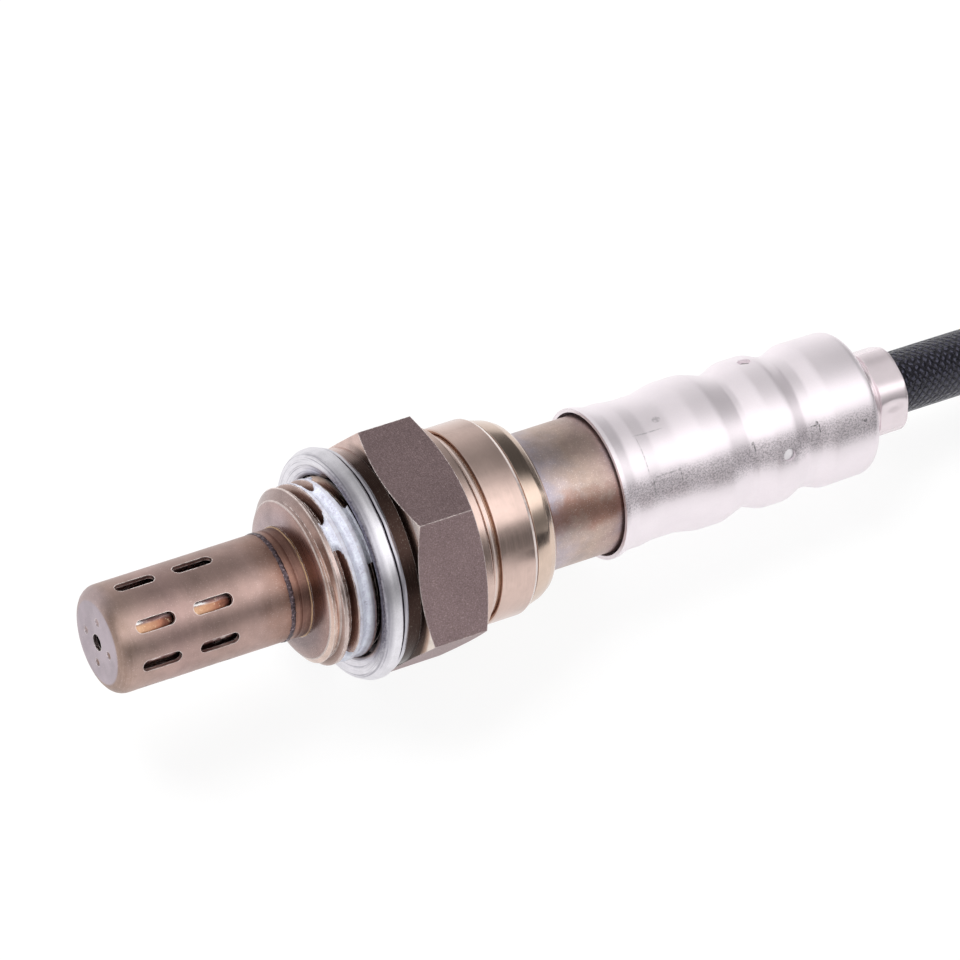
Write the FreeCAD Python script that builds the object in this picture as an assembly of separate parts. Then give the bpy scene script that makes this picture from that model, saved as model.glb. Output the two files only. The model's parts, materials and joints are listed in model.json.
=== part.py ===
import FreeCAD, Part
import math
import os
from FreeCAD import Placement, Rotation, Vector

# A heated exhaust oxygen sensor with an M18 thread and a braided lead.
# It is built along its own axis and then laid on the floor, on its hexagon and its rear cover.
# Axis stations are in millimetres along +X, measured from the front face of the hexagon.
# The gas end is at negative stations and the lead leaves at the rear, towards +X.
# Angles round the axis are in degrees, from straight up towards -Y.

# Outer protection tube, a drawn cup with two rows of gas slots
tube_tip = -29.15
tube_end = -10.75
tube_r = 5.41
tube_wall = 0.4
tube_tip_bevel = 0.6
tip_hole_r = 0.85
slot_rows = (-24.95, -18.8)
slot_length = 4.15
slot_width = 1.3
slot_angles = (-18.0, 33.5, 76.5, 121.5, 166.5, 211.5, 256.5, 299.0)

# Inner protection tube
inner_tube_tip = -27.7
inner_tube_wall = 0.35
tube_spacing = 0.4
inner_hole_r = 0.8
inner_hole_count = 4
inner_hole_station = -21.9

# Collar that carries both tubes in the shell
collar_face_r = 5.5
collar_flange_r = 6.4
collar_flange = 1.0
spigot_length = 1.9
inner_tube_flange_r = 5.95

# Shell: nose, thread, gasket relief, seat, hexagon, step, groove, polished collar, rolled rim
shell_front = -8.75
shell_face_r = 7.95
shell_face_station = -8.2
thread_r = 9.0
thread_start = -7.35
thread_end = -4.1
relief_r = 8.0
seat_station = -1.45
seat_r = 10.9
hex_across_flats = 22.0
hex_front_chamfer = 0.82
hex_rear_corner = 6.55
hex_rear_chamfer = 0.75
step_r = 10.75
step_end = 8.2
groove_r = 9.35
polished_start = 9.5
polished_end = 13.6
polished_r = 10.0
rim_r = 9.3
rim_station = 15.1
rim_roll_r = 8.2
rim_bevel = 0.2
shell_rear = 16.55

# Inside of the shell
lip_end = -7.2
gas_bore_r = 4.6
thimble_seat = 2.0
pocket_r = 7.1
counterbore_r = 8.0
counterbore_start = 11.4
rim_close = 14.6
slip = 0.08

# Folded crush gasket
gasket_outer_r = 11.6
gasket_rear_r = 11.35
gasket_inner_r = 9.2
gasket_front = -3.98
gasket_lip = 0.6
gasket_lip_r = 8.35
gasket_bevel = 0.6
seam_front = -2.5
seam_rear = -2.2
seam_r = 10.8

# Zirconia thimble, its seal ring and packing
thimble_tip = -26.0
thimble_r = 3.6
thimble_tip_bevel = 1.8
thimble_flange_r = 6.9
thimble_flange_end = 6.2
thimble_rear_r = 4.4
thimble_rear = 15.0
thimble_bore_r = 2.05
thimble_floor = 1.6
seal_ring = 0.6
talc_end = 9.4

# Heater rod
heater_r = 1.6
heater_bevel = 0.4
heater_front = -23.6
heater_rear = 26.0

# Support insulator
insulator_flange_r = 7.0
insulator_r = 5.0
insulator_rear = 22.0
insulator_bore_r = 2.75

# Washer, sleeve flange and crimp ring that the rolled rim holds down
washer = 0.4
sleeve_flange = 0.45
clamp_r = 7.9
crimp_ring_end = 13.4

# Inner sleeve, which shows between the shell and the rear cover
sleeve_r = 7.0
sleeve_wall = 0.45
sleeve_neck_start = 25.3
sleeve_neck_end = 26.4
sleeve_neck_r = 6.6
sleeve_rear = 37.0

# Contact carrier, contacts and lead wires
carrier_front = 23.0
carrier_rear = 33.5
carrier_gap = 0.12
contact_slot = 1.7
contact_front = 16.5
contact_width = 1.4
contact_sheet = 0.25
contact_touch_r = 1.68
contact_run_r = 2.18
contact_bend_before = 0.6
contact_bend_after = 0.2
contact_rear = 34.2
wire_r = 0.85
wire_ring_r = 2.3
wire_count = 4
wire_first = 45.0

# Rear cover: flared rim, three bulges between two crimped valleys, shoulder and ferrule
cover_wall = 0.4
cover_front = 24.76
cover_flare_r = 7.74
cover_waist_r = 7.2
flare_end = 25.2
band_station = 26.6
waist_end = 32.6
bulge_1_start = 34.4
bulge_1_end = 37.2
bulge_1_r = 7.62
bulge_2_start = 42.3
bulge_2_end = 44.7
bulge_2_r = 7.55
bulge_3_start = 49.2
bulge_3_r = 7.45
bulge_3_fall = 0.08
valley_1 = 40.0
valley_2 = 46.9
valley_r = 6.84
valley_bevel = 0.5
shoulder_station = 54.1
shoulder_bevel = 0.7
neck_station = 55.3
neck_r = 4.2
ferrule_r = 4.5
ferrule_start = 56.1
ferrule_end = 59.3
ferrule_across_flats = 8.6
ferrule_corner = 43.5
vent_station = 43.5
vent_first = -28.5
vent_count = 4
vent_r = 0.6

# Grommet and breather membrane
grommet_front = 38.7
grommet_rear = 53.4
grommet_squeeze = 0.06
membrane_front = 42.45
membrane_rear = 44.55
membrane = 0.35
membrane_gap = 0.07

# Braided sleeve of the lead
braid_r = 3.2
braid_start = 56.4
braid_lift = 0.35

# Where the lead goes: down to the floor, round one and a half turns, and into the plug
floor_gap = 0.45
coil_r = 32.0
coil_side = 0.7
arc_share = 0.45
lead_run_1 = 14.0
lead_run_2 = 15.0
lead_run_3 = 7.0
coil_stub = 21.0
coil_layer = 6.4
coil_bevel = 1.7
tie_angle = -20.0
tie_length = 6.0
tie_sheet = 0.3
tie_gap = 0.3
tie_round = 2.2

# Plug at the end of the lead
plug_gap = 24.5
boot_length = 15.0
boot_wall = 1.6
boot_neck = 5.0
boot_bevel = 0.55
plug_width = 21.0
plug_length = 22.0
plug_round = 2.5
pad_round = 0.5
nose_length = 11.0
nose_width = 16.5
nose_height = 12.5
nose_round = 2.0
plug_seal = 1.1
plug_seal_length = 3.4
cavity_width = 1.5
cavity_height = 2.9
cavity_pitch = 4.0
cavity_depth = 9.0
latch_width = 8.0
latch_length = 22.0
latch_sheet = 1.4
latch_gap = 1.3
latch_side_gap = 1.0
latch_foot = 3.0
latch_tip_gap = 1.0
latch_pad = 4.0
latch_round = 1.0
latch_recess_front = 3.0
lock_sheet = 1.6
lock_length = 6.0
lock_back = 4.0
lock_height = 3.0
terminal_sheet = 0.5
terminal_length = 7.0
terminal_height = 2.2

AXIS = Vector(1, 0, 0)
ORIGIN = Vector(0, 0, 0)


def bevelled(outline, closed=True):
    """Points of an outline of (x, y) or (x, y, bevel) entries; a bevel is cut equally off both sides."""
    points = [Vector(entry[0], entry[1], 0) for entry in outline]
    count = len(points)
    result = []
    for i, entry in enumerate(outline):
        if len(entry) == 2 or (not closed and i in (0, count - 1)):
            result.append(points[i])
            continue
        result.append(points[i] + (points[i - 1] - points[i]).normalize() * entry[2])
        result.append(points[i] + (points[(i + 1) % count] - points[i]).normalize() * entry[2])
    return result


def corner(before, point, after, radius):
    """Tangent points and middle of the arc that rounds one corner of an outline."""
    to_before = (before - point).normalize()
    to_after = (after - point).normalize()
    half = to_before.getAngle(to_after) / 2
    reach = radius / math.tan(half)
    bisector = (to_before + to_after).normalize()
    centre = point + bisector * (radius / math.sin(half))
    return point + to_before * reach, centre - bisector * radius, point + to_after * reach


def outline_face(outline):
    """A flat face in the XY plane from (x, y) or (x, y, corner radius) entries."""
    count = len(outline)
    points = [Vector(entry[0], entry[1], 0) for entry in outline]
    radii = [entry[2] if len(entry) > 2 else 0 for entry in outline]
    arcs = []
    for i in range(count):
        if radii[i] > 0:
            arcs.append(corner(points[i - 1], points[i], points[(i + 1) % count], radii[i]))
        else:
            arcs.append((points[i], points[i], points[i]))
    edges = []
    for i in range(count):
        start, middle, end = arcs[i]
        if radii[i] > 0:
            edges.append(Part.Arc(start, middle, end).toShape())
        following = arcs[(i + 1) % count][0]
        if (following - end).Length > 1e-6:
            edges.append(Part.LineSegment(end, following).toShape())
    return Part.Face(Part.Wire(edges))


def closed_loop(points):
    """The points with the first one repeated at the end."""
    return points + points[:1]


def spun(points):
    """A solid of revolution round the sensor's axis, from points in the XY plane."""
    return Part.Face(Part.makePolygon(closed_loop(points))).revolve(ORIGIN, AXIS, 360)


def turned(outline):
    """A turned solid, from (station, radius) or (station, radius, bevel) entries."""
    return spun(bevelled(outline))


def tube(start, end, outer, inner):
    """A plain ring or tube."""
    return turned([(start, inner), (end, inner), (end, outer), (start, outer)])


def drawn(outline, wall):
    """A sheet-metal shell of even wall, drawn or spun to an outer outline."""
    outer = bevelled(outline, closed=False)
    inner = []
    sides = [(end - start).normalize() for start, end in zip(outer, outer[1:])]
    normals = [Vector(side.y, -side.x, 0) for side in sides]
    for point, before, after in zip(outer, normals[:1] + normals, normals + normals[-1:]):
        middle = (before + after).normalize()
        inner.append(point + middle * (wall / middle.dot(before)))
    return spun(outer + inner[::-1])


def about_axis(shape, angle):
    """A copy turned about the sensor's axis, from the top towards -Y."""
    copy = shape.copy()
    copy.rotate(ORIGIN, AXIS, angle)
    return copy


def ring_of(shape, count, first):
    """Copies evenly spaced round the axis."""
    return [about_axis(shape, first + i * 360.0 / count) for i in range(count)]


def rounded_box(low, high, radius, direction="X"):
    """A box whose four edges along one direction are rounded."""
    size = high - low
    box = Part.makeBox(size.x, size.y, size.z, low)
    along = {"X": Vector(1, 0, 0), "Y": Vector(0, 1, 0), "Z": Vector(0, 0, 1)}[direction]
    edges = [e for e in box.Edges if abs(e.tangentAt(e.FirstParameter).dot(along)) > 0.99]
    return box.makeFillet(radius, edges)


def slot_cutter(station, length, width, deep):
    """A cutter that stands on the axis and points straight up."""
    return Part.makeBox(length, width, deep, Vector(station - length / 2, -width / 2, 0))


# Gas end

def outer_protection_tube():
    """Drawn cup with a rounded tip, an end hole and two rows of slots."""
    cup = drawn([(tube_tip, tip_hole_r), (tube_tip, tube_r, tube_tip_bevel), (tube_end, tube_r)], tube_wall)
    cutters = []
    for row in slot_rows:
        cutter = slot_cutter(row, slot_length, slot_width, 2 * tube_r)
        cutters += [about_axis(cutter, angle) for angle in slot_angles]
    return cup.cut(cutters)


def inner_tube_r():
    """Outer radius of the inner protection tube."""
    return tube_r - tube_wall - tube_spacing


def inner_protection_tube():
    """Closed cup with gas holes and a flange that the collar clamps."""
    radius = inner_tube_r()
    flange = lip_end + collar_flange
    cup = drawn([(inner_tube_tip, tip_hole_r), (inner_tube_tip, radius), (flange, radius),
                 (flange, inner_tube_flange_r)], inner_tube_wall)
    hole = Part.makeCylinder(inner_hole_r, 2 * radius, Vector(inner_hole_station, 0, 0))
    return cup.cut(ring_of(hole, inner_hole_count, 0))


def tube_collar():
    """Turned collar: a spigot welded in the outer tube, and a flange held by the shell's lip."""
    bore = inner_tube_r() + slip / 2
    spigot = tube_r - tube_wall - slip / 4
    flange_rear = lip_end + collar_flange
    return turned([(tube_end - spigot_length, bore), (flange_rear, bore), (flange_rear, collar_flange_r),
                   (lip_end, collar_flange_r), (lip_end, collar_face_r), (tube_end, collar_face_r),
                   (tube_end, spigot), (tube_end - spigot_length, spigot)])


# Shell and gasket

def hexagon():
    """Hexagon lying on a flat, chamfered at both faces by cones."""
    corner_r = hex_across_flats / math.sqrt(3)
    flat_r = hex_across_flats / 2
    corners = [Vector(0, corner_r * math.sin(math.radians(a)), corner_r * math.cos(math.radians(a)))
               for a in range(30, 391, 60)]
    rear = hex_rear_corner + hex_rear_chamfer
    prism = Part.Face(Part.makePolygon(corners)).extrude(AXIS * rear)
    cones = turned([(0, 0), (0, flat_r), (hex_front_chamfer, corner_r), (hex_front_chamfer, corner_r + 1),
                    (hex_rear_corner, corner_r + 1), (hex_rear_corner, corner_r), (rear, flat_r), (rear, 0)])
    return prism.common(cones)


def shell_bore():
    """Everything that is bored or swaged inside the shell, as one cutter."""
    tube_floor = lip_end + collar_flange + inner_tube_wall
    return turned([(shell_front - 1, 0), (shell_front - 1, collar_face_r + slip / 2),
                   (lip_end, collar_face_r + slip / 2), (lip_end, collar_flange_r + slip),
                   (tube_floor, collar_flange_r + slip), (tube_floor, gas_bore_r),
                   (thimble_seat, gas_bore_r), (thimble_seat, pocket_r),
                   (counterbore_start, pocket_r), (counterbore_start, counterbore_r),
                   (crimp_ring_end, counterbore_r), (rim_close, sleeve_r + slip),
                   (shell_rear + 1, sleeve_r + slip), (shell_rear + 1, 0)])


def sensor_shell():
    """One turned and milled piece, with its rear rim rolled on the sleeve's flange."""
    hex_rear = hex_rear_corner + hex_rear_chamfer
    body = turned([(shell_front, 0), (shell_front, collar_face_r), (shell_face_station, shell_face_r),
                   (thread_start, thread_r), (thread_end, thread_r), (thread_end, relief_r),
                   (seat_station, relief_r), (seat_station, seat_r), (hex_rear / 2, seat_r),
                   (hex_rear / 2, step_r), (step_end, step_r), (step_end, groove_r),
                   (polished_start, groove_r), (polished_start, polished_r, rim_bevel),
                   (polished_end, polished_r), (rim_station, rim_r), (shell_rear, rim_roll_r, rim_bevel),
                   (shell_rear, 0)])
    return body.fuse(hexagon()).removeSplitter().cut(shell_bore())


def crush_gasket():
    """Folded sheet ring: a rolled front, an open seam and a flat rear lip that keeps it on."""
    lip_front = seat_station - gasket_lip
    return turned([(seat_station, gasket_lip_r), (seat_station, gasket_rear_r), (seam_rear, gasket_rear_r),
                   (seam_rear, seam_r), (seam_front, seam_r), (seam_front, gasket_outer_r),
                   (gasket_front, gasket_outer_r, gasket_bevel), (gasket_front, gasket_inner_r),
                   (lip_front, gasket_inner_r), (lip_front, gasket_lip_r)])


# Sensing element and what holds it

def thimble_seal_ring():
    """Soft steel ring between the shell's seat and the thimble's flange."""
    return tube(thimble_seat, thimble_seat + seal_ring, pocket_r - slip, gas_bore_r + slip)


def zirconia_thimble():
    """Closed-end ceramic tube with a clamping flange."""
    flange_front = thimble_seat + seal_ring
    floor = thimble_tip + thimble_floor
    return turned([(thimble_tip, 0), (thimble_tip, thimble_r, thimble_tip_bevel), (flange_front, thimble_r),
                   (flange_front, thimble_flange_r), (thimble_flange_end, thimble_flange_r),
                   (thimble_flange_end, thimble_rear_r), (thimble_rear, thimble_rear_r),
                   (thimble_rear, thimble_bore_r), (floor, thimble_bore_r), (floor, 0)])


def heater_rod():
    """Ceramic rod heater down the middle of the thimble."""
    return turned([(heater_front, 0), (heater_front, heater_r, heater_bevel), (heater_rear, heater_r),
                   (heater_rear, 0)])


def talc_packing():
    """Pressed powder ring that seals the thimble in the shell."""
    return tube(thimble_flange_end, talc_end, pocket_r - slip / 2, thimble_rear_r + slip)


def support_insulator():
    """Ceramic bush that presses on the packing and guides the contacts."""
    return turned([(talc_end, thimble_rear_r + slip), (talc_end, insulator_flange_r),
                   (counterbore_start, insulator_flange_r), (counterbore_start, insulator_r),
                   (insulator_rear, insulator_r), (insulator_rear, insulator_bore_r),
                   (thimble_rear + slip, insulator_bore_r), (thimble_rear + slip, thimble_rear_r + slip)])


def disc_spring():
    """Spring washer, pressed flat between the insulator's flange and the sleeve."""
    return tube(counterbore_start, counterbore_start + washer, clamp_r - slip, insulator_r + slip)


def sleeve_front():
    """Station of the front face of the inner sleeve's flange."""
    return counterbore_start + washer


def crimp_ring():
    """Steel ring that the rolled rim presses on the sleeve's flange."""
    return tube(sleeve_front() + sleeve_flange, crimp_ring_end, clamp_r, sleeve_r + slip)


def inner_sleeve():
    """Flanged tube that narrows under the rear cover."""
    front = sleeve_front()
    inner = sleeve_r - sleeve_wall
    inner_neck = sleeve_neck_r - sleeve_wall
    return turned([(front, inner), (front, clamp_r), (front + sleeve_flange, clamp_r),
                   (front + sleeve_flange, sleeve_r), (sleeve_neck_start, sleeve_r),
                   (sleeve_neck_end, sleeve_neck_r), (sleeve_rear, sleeve_neck_r), (sleeve_rear, inner_neck),
                   (sleeve_neck_end, inner_neck), (sleeve_neck_start, inner)])


# Contacts and wires

def contact_carrier():
    """Ceramic block with a hole for the heater and a slot for each contact."""
    radius = sleeve_neck_r - sleeve_wall - carrier_gap
    block = tube(carrier_front, carrier_rear, radius, heater_r + 2 * slip)
    depth = contact_run_r + contact_sheet + slip
    slot = Part.makeBox(carrier_rear - carrier_front + 2, contact_slot, depth,
                        Vector(carrier_front - 1, -contact_slot / 2, 0))
    return block.cut(ring_of(slot, wire_count, wire_first))


def contact_strip():
    """Spring strip at the top: it touches the heater, runs through the carrier and ends at the wire."""
    bend_start = insulator_rear - contact_bend_before
    bend_end = carrier_front + contact_bend_after
    side = [(contact_front, contact_touch_r), (bend_start, contact_touch_r), (bend_end, contact_run_r),
            (contact_rear, contact_run_r), (contact_rear, contact_run_r + contact_sheet),
            (bend_end, contact_run_r + contact_sheet), (bend_start, contact_touch_r + contact_sheet),
            (contact_front, contact_touch_r + contact_sheet)]
    strip = outline_face(side).extrude(Vector(0, 0, contact_width))
    strip.rotate(ORIGIN, AXIS, 90)
    strip.translate(Vector(0, contact_width / 2, 0))
    return strip


def lead_wire():
    """Insulated wire at the top, from its crimp barrel through the grommet to the braid."""
    start = contact_rear + slip
    return Part.makeCylinder(wire_r, braid_start - start, Vector(start, 0, wire_ring_r), AXIS)


# Rear cover, grommet and membrane

def cover_outline():
    """Outer side of the rear cover, from the flared rim to the ferrule's mouth."""
    return [(cover_front, cover_flare_r), (flare_end, cover_flare_r), (band_station, cover_waist_r),
            (waist_end, cover_waist_r), (bulge_1_start, bulge_1_r), (bulge_1_end, bulge_1_r),
            (valley_1, valley_r, valley_bevel), (bulge_2_start, bulge_2_r), (bulge_2_end, bulge_2_r),
            (valley_2, valley_r, valley_bevel), (bulge_3_start, bulge_3_r),
            (shoulder_station, bulge_3_r - bulge_3_fall, shoulder_bevel), (neck_station, neck_r),
            (ferrule_start, ferrule_r), (ferrule_end, ferrule_r)]


def cover_inside():
    """Inner side of the rear cover, in plain steps that keep about the sheet's thickness."""
    shoulder = shoulder_station - cover_wall
    return [(cover_front, cover_flare_r - cover_wall), (band_station, cover_waist_r - cover_wall),
            (bulge_1_start, cover_waist_r - cover_wall), (bulge_1_start, bulge_1_r - cover_wall),
            (bulge_1_end, bulge_1_r - cover_wall), (bulge_1_end, valley_r - cover_wall),
            (bulge_2_start, valley_r - cover_wall), (bulge_2_start, bulge_2_r - cover_wall),
            (bulge_2_end, bulge_2_r - cover_wall), (bulge_2_end, valley_r - cover_wall),
            (bulge_3_start, valley_r - cover_wall), (bulge_3_start, bulge_3_r - bulge_3_fall - cover_wall),
            (shoulder, bulge_3_r - bulge_3_fall - cover_wall), (shoulder, neck_r - cover_wall),
            (ferrule_end, neck_r - cover_wall)]


def rear_cover():
    """Drawn and crimped cover, with vent holes and a six-sided crimp round the lead."""
    sheet = turned(cover_outline() + cover_inside()[::-1])
    reach = ferrule_across_flats / math.sqrt(3)
    corners = [Vector(ferrule_start, reach * math.sin(math.radians(a)), reach * math.cos(math.radians(a)))
               for a in range(0, 361, 60)]
    length = ferrule_end - ferrule_start
    inside = Part.Face(Part.makePolygon(corners)).extrude(AXIS * length)
    outside = Part.makeCylinder(2 * ferrule_r, length, Vector(ferrule_start, 0, 0), AXIS)
    flats = about_axis(outside.cut(inside), ferrule_corner)
    vent = Part.makeCylinder(vent_r, 2 * bulge_2_r, Vector(vent_station, 0, 0))
    return sheet.cut([flats] + ring_of(vent, vent_count, vent_first))


def cable_grommet():
    """Turned seal that the two valleys squeeze, with a hole for each wire."""
    low = valley_r - cover_wall - grommet_squeeze
    mid = bulge_2_r - cover_wall - membrane - 2 * membrane_gap
    high = bulge_3_r - bulge_3_fall - cover_wall - membrane_gap
    body = turned([(grommet_front, 0), (grommet_front, low), (membrane_front, low), (membrane_front, mid),
                   (membrane_rear, mid), (membrane_rear, low), (bulge_3_start + slip, low),
                   (bulge_3_start + slip, high), (grommet_rear, high), (grommet_rear, 0)])
    hole = Part.makeCylinder(wire_r + slip / 4, grommet_rear - grommet_front + 2,
                             Vector(grommet_front - 1, 0, wire_ring_r), AXIS)
    return body.cut(ring_of(hole, wire_count, wire_first))


def vent_membrane():
    """Porous band under the vent holes."""
    outer = bulge_2_r - cover_wall - membrane_gap
    return tube(membrane_front + slip, membrane_rear - slip, outer, outer - membrane)


# Lying on the floor: the lower flat's rear edge and the third bulge carry the sensor

def rest_tilt():
    """Angle by which the rear end hangs down."""
    hex_rear = hex_rear_corner + hex_rear_chamfer
    drop = hex_across_flats / 2 - (bulge_3_r - bulge_3_fall)
    return math.degrees(math.atan2(drop, shoulder_station - shoulder_bevel - hex_rear))


def resting_placement(shapes):
    """Tilts the sensor, sets it on z = 0 and centres it over the origin."""
    tilt = Placement(ORIGIN, Rotation(Vector(0, 1, 0), rest_tilt()))
    laid = Part.makeCompound([shape.transformed(tilt.toMatrix()) for shape in shapes])
    box = laid.optimalBoundingBox(True, False)
    shift = Vector(-(box.XMin + box.XMax) / 2, -(box.YMin + box.YMax) / 2, -box.ZMin)
    return Placement(shift, Rotation()).multiply(tilt)


# Lead on the floor

def rounded_path(points):
    """Straight runs joined by tangent arcs, each as large as its two runs allow."""
    edges = []
    cursor = points[0]
    for before, point, after in zip(points, points[1:], points[2:]):
        shorter = min((point - before).Length, (after - point).Length)
        turn = (point - before).getAngle(after - point)
        radius = arc_share * shorter / math.tan(turn / 2)
        start, middle, end = corner(before, point, after, radius)
        edges.append(Part.LineSegment(cursor, start).toShape())
        edges.append(Part.Arc(start, middle, end).toShape())
        cursor = end
    edges.append(Part.LineSegment(cursor, points[-1]).toShape())
    return Part.Wire(edges)


def lead_points(resting):
    """From the grommet straight out along the axis, then down to the floor and the coil."""
    low = braid_r + floor_gap
    exit_point = resting.multVec(Vector(braid_start, 0, braid_lift))
    first = resting.multVec(Vector(braid_start + lead_run_1, 0, braid_lift))
    second = Vector(first.x + lead_run_2, coil_side, low)
    third = Vector(second.x + lead_run_3, coil_side, low)
    return [exit_point, first, second, third]


def braided_sleeve(points):
    """The braided lead from the ferrule to the coil."""
    path = rounded_path(points)
    heading = path.Edges[0].tangentAt(path.Edges[0].FirstParameter)
    ring = Part.Wire(Part.makeCircle(braid_r, points[0], heading))
    solid = path.makePipeShell([ring], True, True)
    print("lead: volume %.1f, section times length %.1f"
          % (solid.Volume, math.pi * braid_r ** 2 * path.Length))
    return solid


def coil_centre(points):
    """Centre of the coil, at floor level."""
    return Vector(points[-1].x + coil_stub, points[-1].y - coil_r, 0)


def coil_ring(height, sweep):
    """Part of a ring that stands on the coil's level, of one layer or two in height."""
    inner = coil_r - braid_r
    outer = coil_r + braid_r
    section = Part.Face(Part.makePolygon([Vector(p.x, 0, p.y) for p in closed_loop(bevelled([
        (inner, floor_gap, coil_bevel), (outer, floor_gap, coil_bevel),
        (outer, floor_gap + height, coil_bevel), (inner, floor_gap + height, coil_bevel)]))]))
    return section.revolve(ORIGIN, Vector(0, 0, 1), sweep)


def sleeve_coil(points):
    """Outer shape of one and a half turns, the second on the first, with both ends led off straight."""
    centre = coil_centre(points)
    low = braid_r + floor_gap
    ring = coil_ring(2 * braid_r + coil_layer, 270)
    ring.rotate(ORIGIN, Vector(0, 0, 1), -90)
    lower = coil_ring(2 * braid_r, 90)
    lower.rotate(ORIGIN, Vector(0, 0, 1), 180)
    way_in = Part.makeCylinder(braid_r, coil_stub, Vector(-coil_stub, coil_r, low), AXIS)
    way_out = Part.makeCylinder(braid_r, plug_gap, Vector(-plug_gap, -coil_r, low + coil_layer), AXIS)
    solid = ring.fuse([lower, way_in, way_out]).removeSplitter()
    solid.translate(centre)
    return solid


def coil_tie(points):
    """Tape band round both layers of the coil."""
    centre = coil_centre(points)
    half = braid_r + tie_gap
    low = floor_gap - slip
    high = floor_gap + coil_layer + 2 * braid_r + slip
    inner = rounded_box(Vector(coil_r - half, -tie_length, low), Vector(coil_r + half, tie_length, high),
                        tie_round, "Y")
    outer = rounded_box(Vector(coil_r - half - tie_sheet, -tie_length / 2, low - tie_sheet),
                        Vector(coil_r + half + tie_sheet, tie_length / 2, high + tie_sheet),
                        tie_round + tie_sheet, "Y")
    band = outer.cut(inner)
    band.rotate(ORIGIN, Vector(0, 0, 1), tie_angle)
    band.translate(centre)
    return band


# Plug

def plug_datum(points):
    """Where the lead enters the boot; the plug points towards -X from here."""
    centre = coil_centre(points)
    return Vector(centre.x - plug_gap, centre.y - coil_r, braid_r + floor_gap + coil_layer)


def boot_section(station, half_y, half_z):
    """Upright eight-sided loop across the boot."""
    bevel = boot_bevel * min(half_y, half_z)
    loop = bevelled([(-half_y, -half_z, bevel), (half_y, -half_z, bevel), (half_y, half_z, bevel),
                     (-half_y, half_z, bevel)])
    return Part.makePolygon([Vector(station, p.x, p.y) for p in closed_loop(loop)])


def connector_boot(datum):
    """Moulded rubber boot, flared from the round lead to the plug's oblong back."""
    neck = braid_r + boot_wall
    wide = plug_width / 2 - boot_wall
    tall = datum.z - boot_wall
    sections = [boot_section(0, neck, neck), boot_section(-boot_neck, neck, neck),
                boot_section(-boot_length, wide, tall)]
    return Part.makeLoft(sections, True, True).translated(datum)


def plug_front():
    """Where the plug's body ends and its mating end begins, from the datum."""
    return -boot_length - plug_length


def cavity_middles():
    """Middle of each terminal's cavity across the plug."""
    return [(i - (wire_count - 1) / 2) * cavity_pitch for i in range(wire_count)]


def lock_seat(datum, clearance):
    """Low corner of the lock, or of the window that it slides through."""
    return Vector(plug_front() + lock_back + clearance, -plug_width / 2, lock_height - datum.z + clearance)


def plug_latch(back, top):
    """Latch arm over the body, with its foot at the front and a thumb pad at the back."""
    half = latch_width / 2
    front = back - latch_length
    tip = back - latch_tip_gap
    arm = rounded_box(Vector(front, -half, top - latch_sheet), Vector(tip, half, top), latch_round, "Z")
    pad = rounded_box(Vector(tip - latch_pad, -half, top - latch_sheet), Vector(tip, half, top), pad_round)
    foot = Part.makeBox(latch_foot, latch_width, latch_sheet + latch_gap,
                        Vector(front, -half, top - latch_sheet - latch_gap))
    return [arm, foot, pad]


def connector_housing(datum):
    """Moulded plug: body, smaller mating end with four cavities, a window for the lock and a latch arm."""
    back = -boot_length
    front = plug_front()
    half_y = plug_width / 2
    half_z = datum.z
    body = rounded_box(Vector(front, -half_y, -half_z), Vector(back, half_y, half_z), plug_round)
    nose = rounded_box(Vector(front - nose_length, -nose_width / 2, -nose_height / 2),
                       Vector(front, nose_width / 2, nose_height / 2), nose_round)
    housing = body.fuse(nose)
    for middle in cavity_middles():
        low = Vector(front - nose_length - 1, middle - cavity_width / 2, -cavity_height / 2)
        housing = housing.cut(Part.makeBox(cavity_depth + 1, cavity_width, cavity_height, low))
    window = Part.makeBox(lock_length, plug_width + 2, lock_sheet, lock_seat(datum, 0) - Vector(0, 1, 0))
    recess_low = Vector(front + latch_recess_front, -latch_width / 2 - latch_side_gap,
                        half_z - latch_sheet - latch_gap)
    recess = Part.makeBox(plug_length, latch_width + 2 * latch_side_gap, latch_sheet + latch_gap + 1,
                          recess_low)
    housing = housing.cut([window, recess]).fuse(plug_latch(back, half_z)).removeSplitter()
    return housing.translated(datum)


def oblong(front, back, spread):
    """An oblong block round the plug's mating end, larger than it by an even spread."""
    return rounded_box(Vector(front, -nose_width / 2 - spread, -nose_height / 2 - spread),
                       Vector(back, nose_width / 2 + spread, nose_height / 2 + spread), nose_round + spread)


def connector_seal(datum):
    """Ring seal at the root of the plug's mating end."""
    root = plug_front()
    front = root - plug_seal_length
    return oblong(front, root, plug_seal).cut(oblong(front, root, slip)).translated(datum)


def connector_lock(datum):
    """Sliding lock that keeps the terminals in, pushed in from the side."""
    size = (lock_length - 2 * slip, plug_width, lock_sheet - 2 * slip)
    return Part.makeBox(*size, lock_seat(datum, slip)).translated(datum)


def connector_terminals(datum):
    """Four blade receivers in the cavities, one compound of separate strips."""
    front = plug_front() - nose_length + cavity_depth - terminal_length
    strips = [Part.makeBox(terminal_length, terminal_sheet, terminal_height,
                           Vector(front, middle - terminal_sheet / 2, -terminal_height / 2))
              for middle in cavity_middles()]
    return Part.makeCompound(strips).translated(datum)


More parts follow.
